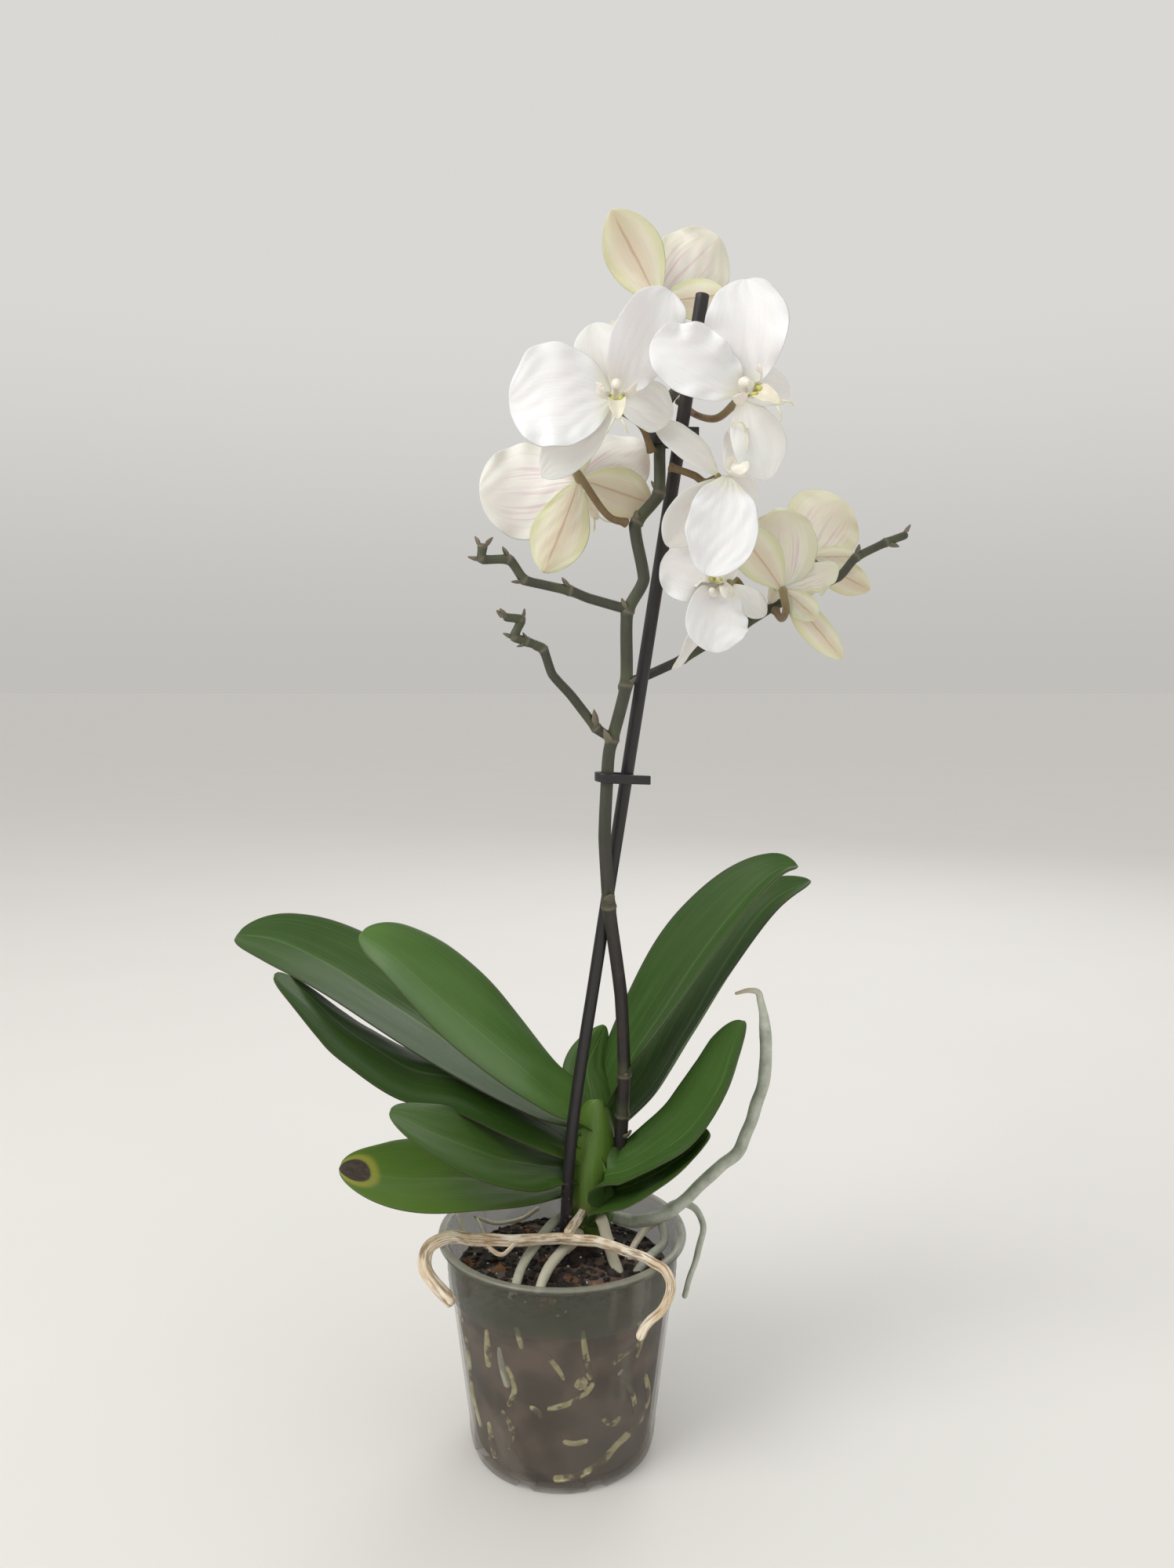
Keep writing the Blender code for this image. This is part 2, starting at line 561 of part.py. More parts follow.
# Each flower: its centre, the way it faces, the way its lip hangs, its stalk's points, and its blades.
# A sepal or petal is its tip's offset from the centre, its width direction, its half width and its arch
# towards the face, in millimetres.
FLOWERS = {
    "flower_1": {
        "centre": (0.044, -0.012, 0.4313), "facing": (0.1, 0.9, 0.35), "lip": (1, 0, -0.3),
        "stalk": [(0.0615, -0.0200, 0.4065), (0.055, -0.022, 0.4123)],
        "sepals": [((-21, -2, 39), (1, -0.3, 0.5), 13, 3), ((29, -3, 3), (0.1, 0.0, 1), 9, 3),
                   ((-9, -2, -24), (1, 0, -0.3), 9, 3)],
        "petals": [((27, 5, 30), (0.8, 0.1, -0.6), 18, 5), ((-21, 16, -9), (0.1, 0.3, 0.9), 13, 3)],
    },
    "flower_2": {
        "centre": (0.023, -0.070, 0.3773), "facing": (0.05, -1, 0.1), "lip": (0, 0, -1),
        "stalk": [(0.0388, -0.0500, 0.3600), (0.034, -0.056, 0.3693)],
        "sepals": [((-8, 4, 31), (1, 0, 0.1), 12, 3), ((24, 5, -5), (0.2, 0, 1), 10, 3),
                   ((-29, 4, -30), (0.7, 0, -0.7), 10, 3)],
        "petals": [((-42, -1, -3), (0, 0.1, 1), 21, 4), ((22, -2, 40), (0.8, 0.3, -0.45), 14, 4)],
    },
    "flower_3": {
        "centre": (0.009, -0.044, 0.3483), "facing": (0.05, 1, -0.1), "lip": (0.5, 0, -0.9),
        "stalk": [(0.0283, -0.0510, 0.3303), (0.020, -0.055, 0.3333)],
        "sepals": [((-15, -3, -39), (1, 0, -0.35), 12, 2), ((31, 6, -9), (0.25, 0, 1), 11, 0),
                   ((-8, 0, 34), (1, 0, 0.2), 11, 2)],
        "petals": [((-43, 5, -3), (0, 0.1, 1), 21, 5), ((28, 13, 18), (-0.5, 0.2, 0.8), 15, 4)],
    },
    "flower_4": {
        "centre": (0.073, -0.075, 0.3773), "facing": (0.1, -1, 0.1), "lip": (0.75, 0, -0.6),
        "stalk": [(0.0514, -0.0308, 0.3850), (0.0585, -0.0325, 0.3785), (0.066, -0.050, 0.3733)],
        "sepals": [((-9, 6, 26), (0.9, 0, 0.4), 9, 2), ((20, 4, 6), (-0.4, 0.2, 0.9), 9, 2),
                   ((12, 3, -32), (1, 0, 0.35), 11, 3)],
        "petals": [((1, -2, 43), (1, -0.15, 0), 16, 4), ((-36, -4, 19), (0.4, -0.2, 0.8), 13, 4)],
    },
    "flower_5": {
        "centre": (0.069, -0.062, 0.3483), "facing": (0.75, -0.6, 0.2), "lip": (-0.2, -0.3, 0.9),
        "stalk": [(0.0470, -0.0495, 0.3533), (0.056, -0.054, 0.3493)],
        "sepals": [((-27, 2, 22), (0.6, 0.5, 0.6), 8, 1), ((-21, 8, -27), (0.8, 0.4, -0.5), 11, 0),
                   ((16, 12, -13), (0.5, 0.3, 0.7), 9, 1)],
        "petals": [((-9, -13, -42), (1, 0.2, 0), 15, 2), ((15, 6, 19), (-0.7, 0.3, 0.6), 12, 3)],
    },
    "flower_6": {
        "centre": (0.096, -0.040, 0.3043), "facing": (0.1, 0.9, 0.4), "lip": (-0.3, 0, -1),
        "stalk": [(0.0955, -0.0242, 0.2955), (0.0965, -0.035, 0.2913), (0.0965, -0.046, 0.2948)],
        "sepals": [((-21, -8, 25), (0.7, -0.3, 0.6), 10, 2), ((26, 1, -29), (0.7, 0.2, 0.6), 7, 2),
                   ((14, -3, -12), (0.5, 0, 0.9), 6, 1)],
        "petals": [((-1, 2, 33), (1, 0.1, 0.1), 17, 5), ((25, 7, 10), (-0.4, 0.5, 0.8), 9, 3)],
    },
    "flower_7": {
        "centre": (0.114, 0.006, 0.3223), "facing": (-0.1, 0.95, 0.25), "lip": (-0.3, 0, -1),
        "stalk": [(0.1185, -0.0160, 0.3093), (0.118, -0.007, 0.3153)],
        "sepals": [((22, -2, 0), (0, 0.2, 1), 6, 1), ((29, -1, -15), (0.5, 0, 0.9), 8, 2),
                   ((-6, 0, -16), (1, 0, 0), 7, 2)],
        "petals": [((18, 5, 27), (-0.75, 0.1, 0.7), 19, 5), ((-20, 6, 18), (0.7, 0.1, 0.75), 14, 5)],
    },
    "flower_8": {
        "centre": (0.071, -0.042, 0.3053), "facing": (-0.5, -0.7, -0.2), "lip": (0.5, 0.2, 0.9),
        "stalk": [(0.0800, -0.0245, 0.2908), (0.082, -0.034, 0.2983)],
        "sepals": [((-24, 5, -37), (0.5, 0.8, -0.2), 6, 1), ((17, 6, -13), (0.5, 0, 0.9), 6, 1),
                   ((2, 7, 18), (1, -0.2, 0), 7, 1)],
        "petals": [((-27, -3, 11), (0.3, 0, 0.9), 13, 3), ((-6, -10, -29), (0.75, 0.2, -0.6), 15, 4)],
    },
}
SEPAL_SET_BACK = 1.7 * MM + 2 * PETAL_THICKNESS
HUB_RADIUS = 2.2 * MM
LIP_START = 4.0 * MM


def make_lobes(name, centre, facing, rows, set_back, colour):
    """Two or three blades that grow from one small hub, joined as one body."""
    start = centre - facing * set_back
    disc = bmesh.new()
    turn = facing.to_track_quat("Z", "Y").to_matrix().to_4x4()
    bmesh.ops.create_cone(disc, cap_ends=True, segments=10, radius1=HUB_RADIUS, radius2=HUB_RADIUS,
                          depth=2.0 * PETAL_THICKNESS, matrix=Matrix.Translation(start) @ turn)
    mesh = bpy.data.meshes.new(name)
    disc.to_mesh(mesh)
    disc.free()
    hub = add_part(name, mesh, colour, 0.6)
    for number, (offset, across, half_width, arch) in enumerate(rows):
        tip = centre + Vector(offset) * MM - facing * set_back
        middle = start.lerp(tip, 0.5) + facing * arch * MM
        foot = start.lerp(tip, 0.02)
        lobe = bpy.data.objects.new(
            f"{name}_{number}",
            blade_mesh(f"{name}_{number}", [foot, middle, tip], (across, across), facing,
                       half_width * MM, 0.002, 0.58, 0.6, 0.12))
        PARTS.objects.link(lobe)
        hide_cutter(lobe)
        boolean(hub, lobe, "UNION")
    return hub


def make_flower(name, design):
    centre = Vector(above_lip([design["centre"]])[0])
    facing = Vector(design["facing"]).normalized()
    down = Vector(design["lip"])
    down = (down - facing * down.dot(facing)).normalized()
    make_lobes(f"{name}_sepals", centre, facing, design["sepals"], SEPAL_SET_BACK, (0.72, 0.70, 0.52))
    make_lobes(f"{name}_petals", centre, facing, design["petals"], 0.0, (0.86, 0.84, 0.85))
    lip = [(*(centre + facing * LIP_START), 1.5), (*(centre + facing * 6 * MM + down * 2 * MM), 2.6),
           (*(centre + facing * 8 * MM + down * 8 * MM), 2.8),
           (*(centre + facing * 7 * MM + down * 14 * MM), 1.2)]
    tube(f"{name}_lip", lip, (0.80, 0.78, 0.55), 0.004, 0.5)
    back = centre - facing * (SEPAL_SET_BACK + 2.1 * MM)
    stalk = [(*point, STALK_RADIUS) for point in above_lip(design["stalk"])]
    stalk.append((*(back - facing * 5 * MM), STALK_RADIUS * 0.9))
    stalk.append((*back, STALK_RADIUS * 0.8))
    tube(f"{name}_stalk", stalk, (0.19, 0.12, 0.05), 0.006, 0.5)


make_pot()
MIX = make_mix()
make_stems()
make_leaves()
make_clip("clip_lower", 0.2193, 0.0042, 0.006, -0.12)
make_clip("clip_upper", 0.3683, 0.0070, 0.001, 0.10)
make_roots(MIX)
for flower_name, flower_design in FLOWERS.items():
    make_flower(flower_name, flower_design)
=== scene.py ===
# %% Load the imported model
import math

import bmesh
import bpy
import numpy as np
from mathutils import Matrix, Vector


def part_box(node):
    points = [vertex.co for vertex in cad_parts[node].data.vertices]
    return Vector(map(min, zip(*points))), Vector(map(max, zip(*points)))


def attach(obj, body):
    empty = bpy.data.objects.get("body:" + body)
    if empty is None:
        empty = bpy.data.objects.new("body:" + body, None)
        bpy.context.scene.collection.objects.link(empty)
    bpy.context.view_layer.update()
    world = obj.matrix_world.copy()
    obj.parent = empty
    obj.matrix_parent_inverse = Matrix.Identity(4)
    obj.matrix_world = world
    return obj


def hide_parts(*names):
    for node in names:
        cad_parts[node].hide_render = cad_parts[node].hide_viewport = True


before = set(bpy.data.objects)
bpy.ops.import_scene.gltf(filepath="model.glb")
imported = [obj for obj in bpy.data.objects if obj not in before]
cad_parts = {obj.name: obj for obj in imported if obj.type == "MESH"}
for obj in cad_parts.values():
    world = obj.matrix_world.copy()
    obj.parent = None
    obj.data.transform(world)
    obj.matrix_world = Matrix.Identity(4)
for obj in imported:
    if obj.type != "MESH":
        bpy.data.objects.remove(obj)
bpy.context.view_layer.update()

# %% [markdown]
# # A potted moth orchid, piece by piece
# A moth orchid is grown in a clear pot of bark, with stiff strap leaves, silvery roots that leave the pot,
# and a long spike tied to a stake. The loaded model gives each piece its place; here each one gets its real
# surface. Everything soft is built as a closed skin over a smooth path, because leaves, petals, roots and
# stems all follow one.

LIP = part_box("pot")[1][2]
MM = 0.001


def put(name, data):
    """A new object in the scene."""
    thing = bpy.data.objects.new(name, data)
    bpy.context.scene.collection.objects.link(thing)
    return thing


# %% [markdown]
# ## Writing materials as sums
# A material in Blender is a net of small nodes. Written node by node it is long and hard to read, so a
# socket is wrapped in a small class whose + - * / add the Math node for us. Each finish is then a few
# lines that read like a recipe.

# %% A socket that can be added and multiplied
class Wire:
    """An output socket of a net of nodes. Sums on it add Math nodes."""

    def __init__(self, net, socket):
        self.net = net
        self.socket = socket

    def also(self, output):
        """Another output of the same node."""
        return Wire(self.net, self.socket.node.outputs[output])

    def _math(self, operation, first, second):
        return self.net.add("ShaderNodeMath", {"operation": operation}, {0: first, 1: second})

    def __add__(self, other):
        return self._math("ADD", self, other)

    __radd__ = __add__

    def __mul__(self, other):
        return self._math("MULTIPLY", self, other)

    __rmul__ = __mul__

    def __sub__(self, other):
        return self._math("SUBTRACT", self, other)

    def __rsub__(self, other):
        return self._math("SUBTRACT", other, self)

    def __abs__(self):
        return self._math("ABSOLUTE", self, 0.0)

    def at_most(self, other):
        return self._math("MINIMUM", self, other)

    def at_least(self, other):
        return self._math("MAXIMUM", self, other)

    def step(self, low, high):
        """0 below low, 1 above high, and a smooth rise between. Low may be above high for a fall."""
        ranged = {"interpolation_type": "SMOOTHSTEP"}
        return self.net.add("ShaderNodeMapRange", ranged, {"Value": self, "From Min": low, "From Max": high})


# %% A net of nodes, and the one method that adds to it
class Net:
    """A tree of nodes of any kind: a material, the surroundings or Geometry Nodes."""

    def __init__(self, tree):
        self.tree = tree

    def add(self, kind, settings=None, inputs=None, output=0):
        """A new node: its settings, then the value or wire of each input. Gives one output, if it has any."""
        node = self.tree.nodes.new(kind)
        for key, value in (settings or {}).items():
            setattr(node, key, value)
        for key, value in (inputs or {}).items():
            self.feed(node.inputs[key], value)
        return Wire(self, node.outputs[output]) if node.outputs else None

    def feed(self, socket, value):
        if isinstance(value, Wire):
            self.tree.links.new(value.socket, socket)
        elif isinstance(value, tuple) and len(value) == 3 and socket.type == "RGBA":
            socket.default_value = (*value, 1.0)
        else:
            socket.default_value = value

    def blend(self, amount, first, second):
        """From the first colour to the second."""
        return self.add("ShaderNodeMix", {"data_type": "RGBA"}, {0: amount, 6: first, 7: second}, output=2)

    def split(self, where, axis):
        return self.add("ShaderNodeSeparateXYZ", {}, {0: where}, axis)


# %% A finish: one material and the nodes that feed it
class Finish(Net):
    """Builds one material. Its methods are the nodes that are used again and again."""

    def __init__(self, name):
        self.material = bpy.data.materials.new(name)
        self.material.use_nodes = True
        super().__init__(self.material.node_tree)
        self.shader = self.tree.nodes["Principled BSDF"]
        self.place = self.add("ShaderNodeTexCoord", output="Object")

    def noise(self, scale, detail=3.0, rough=0.55, where=None, distortion=0.0):
        sizes = {"Vector": where or self.place, "Scale": scale, "Detail": detail, "Roughness": rough,
                 "Distortion": distortion}
        return self.add("ShaderNodeTexNoise", {}, sizes)

    def cells(self, scale, output):
        return self.add("ShaderNodeTexVoronoi", {}, {"Vector": self.place, "Scale": scale}, output)

    def streaks(self, scale, detail, rough, where=None, distortion=0.0):
        """Noise drawn out by a scale along each axis, of the object or of the place given."""
        place = self.add("ShaderNodeMapping", {}, {"Vector": where or self.place, "Scale": scale})
        return self.noise(1.0, detail, rough, place, distortion)

    def skin_uv(self):
        return self.add("ShaderNodeUVMap", {"uv_map": "skin"})

    def tint(self, channel):
        if channel == 3:
            return self.add("ShaderNodeAttribute", {"attribute_name": "tint"}, output="Alpha")
        seen = self.add("ShaderNodeAttribute", {"attribute_name": "tint"}, output="Color")
        return self.add("ShaderNodeSeparateColor", {}, {0: seen}, channel)

    def surface(self, colour, roughness, height=None, depth=0.0005, strength=1.0, **constants):
        """Joins everything to the shader. Height is in shares of depth, which is in metres."""
        self.feed(self.shader.inputs["Base Color"], colour)
        self.feed(self.shader.inputs["Roughness"], roughness)
        if height is not None:
            bump = self.add("ShaderNodeBump", {}, {"Height": height, "Distance": depth, "Strength": strength},
                            "Normal")
            self.feed(self.shader.inputs["Normal"], bump)
        for key, value in constants.items():
            self.feed(self.shader.inputs[key.replace("_", " ")], value)
        return self.material


# %% [markdown]
# ## Camera, floor and light
# The camera stands a little above the middle of the plant and looks slightly down, with a wide lens, so the
# rim of the pot shows as an ellipse. The floor and the surroundings are plain and pale. One large soft light
# from the upper left shapes the leaves, and two weaker ones keep the petals from going grey.

# %% Camera
LENS = 27.0
CAMERA_PLACE = (0.012, -0.55, LIP + 0.2653)
CAMERA_PITCH = 5.1
camera_data = bpy.data.cameras.new("camera")
camera_data.lens = LENS
camera_data.sensor_width = 36.0
camera = put("camera", camera_data)
camera.location = CAMERA_PLACE
camera.rotation_euler = (math.radians(90 - CAMERA_PITCH), 0.0, 0.0)
bpy.context.scene.camera = camera

# %% Floor
floor_finish = Finish("floor")
floor_grain = floor_finish.noise(6.0, 4.0)
floor_colour = floor_finish.blend(floor_grain, (0.76, 0.75, 0.73), (0.79, 0.78, 0.76))
floor_finish.surface(floor_colour, 0.75)
FLOOR_REACH = 30.0
floor_mesh = bpy.data.meshes.new("floor")
corners = [(-FLOOR_REACH, -FLOOR_REACH, 0.0), (FLOOR_REACH, -FLOOR_REACH, 0.0),
           (FLOOR_REACH, FLOOR_REACH, 0.0), (-FLOOR_REACH, FLOOR_REACH, 0.0)]
floor_mesh.from_pydata(corners, [], [(0, 1, 2, 3)])
floor_mesh.materials.append(floor_finish.material)
put("floor", floor_mesh)

# %% Lights and surroundings
def soft_light(name, place, aim, size, power, colour):
    data = bpy.data.lights.new(name, "AREA")
    data.shape = "DISK"
    data.size = size
    data.energy = power
    data.color = colour
    light = put(name, data)
    direction = np.array(aim) - np.array(place)
    flat = math.hypot(direction[0], direction[1])
    light.rotation_euler = (math.atan2(flat, -direction[2]), 0.0, math.atan2(-direction[0], direction[1]))
    light.location = place


soft_light("key_light", (-1.3, -1.0, 1.7), (0.0, 0.0, 0.35), 1.3, 23.0, (1.0, 0.985, 0.96))
soft_light("fill_light", (1.6, -1.2, 0.9), (0.0, 0.0, 0.3), 1.6, 3.0, (0.96, 0.98, 1.0))
soft_light("back_light", (0.5, 1.4, 1.3), (0.0, 0.0, 0.4), 1.0, 6.0, (1.0, 1.0, 1.0))
WALL_TONE = (0.70, 0.685, 0.66)
HORIZON_TONE = (0.535, 0.520, 0.497)
HORIZON_LOW, HORIZON_HIGH = -0.01, 0.30
world = bpy.data.worlds.new("surroundings")
world.use_nodes = True
sky = Net(world.node_tree)
rise = sky.split(sky.add("ShaderNodeTexCoord", output="Generated"), "Z").step(HORIZON_LOW, HORIZON_HIGH)
sky.feed(world.node_tree.nodes["Background"].inputs["Color"], sky.blend(rise, HORIZON_TONE, WALL_TONE))
bpy.context.scene.world = world
bpy.context.scene.view_settings.view_transform = "Standard"

# %% [markdown]
# ## One skin for every living piece
# A root, a stem, a leaf and a petal are all a cross-section carried along a path. So each is written as
# a grid of points, rows along the piece and columns round it, and the grid is closed where its edges meet.
# The grid also carries where each point lies on the piece, which lets a material draw veins and margins.

# %% Smooth paths
def smooth_path(points, step=0.001, straight=0.0):
    """Points evenly spaced along a smooth curve through the given ones, with any further columns carried.
    straight is the share by which the curve is pulled to straight lines between them."""
    rows = np.array(points, float)
    ends = np.vstack([2 * rows[0] - rows[1], rows, 2 * rows[-1] - rows[-2]])
    share = np.linspace(0.0, 1.0, 24, endpoint=False)[:, None]
    fine = []
    for a, b, c, d in zip(ends, ends[1:], ends[2:], ends[3:]):
        curved = 0.5 * (2 * b + (c - a) * share + (2 * a - 5 * b + 4 * c - d) * share ** 2
                        + (3 * b - a - 3 * c + d) * share ** 3)
        fine.append(curved + straight * (b + (c - b) * share - curved))
    fine = np.vstack(fine + [rows[-1:]])
    reach = np.concatenate([[0.0], np.cumsum(np.linalg.norm(np.diff(fine[:, :3], axis=0), axis=1))])
    count = max(4, int(round(reach[-1] / step)))
    places = np.linspace(0.0, reach[-1], count + 1)
    return np.column_stack([np.interp(places, reach, fine[:, k]) for k in range(fine.shape[1])]), places


def full_turn(count):
    """Angles once round. The last is the first again, so that a skin closes."""
    turn = np.linspace(0.0, math.tau, count + 1)
    turn[-1] = 0.0
    return turn


def unit(rows):
    return rows / np.maximum(np.linalg.norm(rows, axis=-1, keepdims=True), 1e-12)


def raised(points):
    """Points given from the level of the pot's lip, at their height above the floor."""
    return [(p[0], p[1], p[2] + LIP, *p[3:]) for p in points]


# %% Gentle unevenness that is the same each time
def wander(seed, count=5, low=0.6, high=3.0):
    """A smooth, random-looking function of one or two numbers, between about -1 and 1."""
    chance = np.random.default_rng(seed)
    waves = [(chance.uniform(low, high), chance.uniform(low, high), chance.uniform(0, math.tau),
              chance.uniform(0.4, 1.0)) for _ in range(count)]

    def value(a, b=0.0):
        total = 0.0
        for rate_a, rate_b, phase, size in waves:
            total = total + size * np.sin(math.tau * (rate_a * a + rate_b * b) + phase)
        return total / count * 1.5

    return value


# %% A skin gathers grids and becomes one mesh
PLAIN_TINT = (0.0, 0.0, 0.0, 1.0)


class Skin:
    """Grids of points for one piece. Each point has a place on the piece (u, v) and a tint of four shares."""

    def __init__(self):
        self.points, self.faces, self.uvs, self.tints = [], [], [], []
        self.total = 0

    def grid(self, points, u, v, tint=PLAIN_TINT):
        rows, columns = points.shape[:2]
        index = np.arange(rows * columns).reshape(rows, columns) + self.total
        quads = np.stack([index[:-1, :-1], index[:-1, 1:], index[1:, 1:], index[1:, :-1]], axis=-1)
        self.points.append(points.reshape(-1, 3))
        self.faces.append(quads.reshape(-1, 4))
        uv = np.stack(np.broadcast_arrays(u, v), axis=-1)
        self.uvs.append(np.broadcast_to(uv, (rows, columns, 2)).reshape(-1, 2))
        tint = np.broadcast_to(np.array(tint, float), (rows, columns, 4))
        self.tints.append(tint.reshape(-1, 4))
        self.total += rows * columns

    def make(self, name, material, node=None):
        points, faces = np.vstack(self.points), np.vstack(self.faces)
        uvs, tints = np.vstack(self.uvs), np.vstack(self.tints)
        mesh = bpy.data.meshes.new(name)
        mesh.from_pydata(points.tolist(), [], faces.tolist())
        corners = faces.reshape(-1)
        mesh.uv_layers.new(name="skin").data.foreach_set("uv", uvs[corners].reshape(-1).astype(np.float32))
        paint = mesh.color_attributes.new("tint", "FLOAT_COLOR", "CORNER")
        paint.data.foreach_set("color", tints[corners].reshape(-1).astype(np.float32))
        joined = bmesh.new()
        joined.from_mesh(mesh)
        bmesh.ops.remove_doubles(joined, verts=joined.verts, dist=2e-6)
        bmesh.ops.dissolve_degenerate(joined, edges=joined.edges, dist=1e-7)
        bmesh.ops.recalc_face_normals(joined, faces=joined.faces)
        joined.to_mesh(mesh)
        joined.free()
        mesh.shade_smooth()
        return place_piece(name, mesh, material, node)


def place_piece(name, mesh, material, node=None):
    """Puts a finished mesh in the scene. It rides on the plant's one body and stands for its CAD nodes."""
    if material is not None:
        mesh.materials.clear()
        mesh.materials.append(material)
    piece = put(name, mesh)
    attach(piece, "root")
    if node:
        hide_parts(*([node] if isinstance(node, str) else node))
    print(f"{name}: {len(mesh.polygons)} faces")
    return piece


# %% A round skin along a path
def frames_along(path, start=(0.0, 0.0, 1.0)):
    """A direction along the path at each point, and two across it that turn as little as they can."""
    along = unit(np.gradient(path, axis=0))
    side = np.array(start, float)
    if abs(along[0] @ unit(side)) > 0.9:
        side = np.array((1.0, 0.2, 0.0))
    sides = []
    for direction in along:
        side = side - direction * (side @ direction)
        side = side / np.linalg.norm(side)
        sides.append(side)
    sides = np.array(sides)
    return along, sides, np.cross(along, sides)


def sweep(skin, path, radius, sides=16, shape=None, tint=PLAIN_TINT, ends=(1.0, 1.0)):
    """A round skin. shape(metres along, turn) gives a share to add to the radius. Ends of 1 are domes, and
    of 0 flat."""
    radius = np.broadcast_to(np.asarray(radius, float), (len(path),))
    along, right, up = frames_along(path)
    reach = np.concatenate([[0.0], np.cumsum(np.linalg.norm(np.diff(path, axis=0), axis=1))])
    dome = np.sin(np.linspace(0.0, math.pi / 2, 5))
    first = [(path[0] - along[0] * radius[0] * ends[0] * a, right[0], up[0], radius[0] * math.sqrt(1 - a * a),
              reach[0]) for a in dome[:0:-1]]
    last = [(path[-1] + along[-1] * radius[-1] * ends[1] * a, right[-1], up[-1],
             radius[-1] * math.sqrt(1 - a * a), reach[-1]) for a in dome[1:]]
    body = list(zip(path, right, up, radius, reach))
    stations = first + body + last
    turn = full_turn(sides)
    centre = np.array([s[0] for s in stations])[:, None]
    across = np.array([s[1] for s in stations])[:, None]
    over = np.array([s[2] for s in stations])[:, None]
    wide = np.array([s[3] for s in stations])[:, None]
    where = np.array([s[4] for s in stations])[:, None]
    if shape is not None:
        wide = wide * (1.0 + shape(where, turn[None, :]))
    points = centre + (across * np.cos(turn)[None, :, None] + over * np.sin(turn)[None, :, None]) * \
        np.broadcast_to(wide, (len(stations), sides + 1))[:, :, None]
    if callable(tint):
        tint = tint(np.broadcast_to(where, points.shape[:2]), np.broadcast_to(turn[None, :], points.shape[:2]))
    skin.grid(points, np.linspace(0.0, 1.0, sides + 1)[None, :], where, tint)

# %% [markdown]
# ## The pot
# A nursery pot is blown from thin clear plastic, so it is slightly cloudy, greyer where the wall doubles at
# the collar, and marked by fine rings near its foot. A turned profile gives all of that: the rings are small
# steps in the profile, and the cloudiness is in the material, which lets part of what is behind show through.

# %% Cloudy plastic
def cloudy_plastic():
    finish = Finish("cloudy_plastic")
    height = finish.split(finish.place, "Z")
    haze = finish.noise(28.0, 2.0, 0.5)
    streaks = finish.streaks((90.0, 90.0, 7.0), 2.0, 0.5)
    smudges = finish.noise(9.0, 3.0, 0.7, distortion=1.5)
    collar = height.step(COLLAR_FOOT - 0.001, COLLAR_FOOT + 0.001)
    dusty = smudges.step(0.50, 0.68)
    body = finish.blend(haze, (0.105, 0.088, 0.072), (0.24, 0.205, 0.165))
    band = finish.blend(haze, (0.055, 0.057, 0.040), (0.125, 0.125, 0.092))
    lip = height.step(LIP - 0.0016, LIP - 0.0005)
    colour = finish.blend(collar, body, band)
    colour = finish.blend(dusty * 0.35, colour, (0.42, 0.41, 0.36))
    colour = finish.blend(lip * 0.8, colour, (0.33, 0.33, 0.26))
    alpha = 0.20 + haze * 0.16 + dusty * 0.12 + streaks.step(0.55, 0.75) * 0.10 + collar * 0.28 + lip * 0.15
    finish.feed(finish.shader.inputs["Alpha"], alpha.at_most(0.97))
    rough = 0.20 + haze * 0.16 + dusty * 0.22
    return finish.surface(colour, rough, streaks * 0.6 + haze * 0.4, 0.0004, 0.35, IOR=1.46)


COLLAR_HEIGHT = 0.026
COLLAR_FOOT = LIP - COLLAR_HEIGHT
LIP_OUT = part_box("pot")[1][0]
FOOT_OUT = LIP_OUT * 0.733
COLLAR_OUT = LIP_OUT - 0.0035
BODY_TOP_OUT = COLLAR_OUT - 0.0028
WALL = 0.0012
plastic = cloudy_plastic()

# %% Turned profile
def ring_line(height, depth=0.0004, reach=0.0009):
    """Three points of a small raised ring on the body at a height."""
    return [(height - reach, 0.0), (height, depth), (height + reach, 0.0)]


def wall_radius(height):
    return FOOT_OUT + (BODY_TOP_OUT - FOOT_OUT) * height / COLLAR_FOOT


outer = [(FOOT_OUT - 0.0016, 0.0), (FOOT_OUT - 0.0004, 0.0005), (FOOT_OUT + 0.0002, 0.0016)]
marks = ring_line(0.0052) + ring_line(0.0102) + ring_line(COLLAR_FOOT - 0.006, 0.00025)
for height in np.linspace(0.003, COLLAR_FOOT - 0.0012, 26):
    if all(abs(height - mark[0]) > 0.0012 for mark in marks):
        marks.append((height, 0.0))
outer += [(wall_radius(height) + bulge, height) for height, bulge in sorted(marks)]
outer += [(BODY_TOP_OUT + 0.0003, COLLAR_FOOT - 0.0005), (COLLAR_OUT - 0.0019, COLLAR_FOOT),
          (COLLAR_OUT - 0.0017, COLLAR_FOOT + 0.0008)]
for share in np.linspace(0.1, 0.86, 9):
    ripple = 0.00016 * (-1) ** int(share * 12)
    outer.append((COLLAR_OUT - 0.0018 * (1 - share) + ripple, COLLAR_FOOT + COLLAR_HEIGHT * share))
outer += [(COLLAR_OUT + 0.0002, LIP - 0.0032), (LIP_OUT - 0.0010, LIP - 0.0030), (LIP_OUT - 0.0002, LIP - 0.0024),
          (LIP_OUT, LIP - 0.0015), (LIP_OUT - 0.0003, LIP - 0.0005), (LIP_OUT - 0.0010, LIP)]
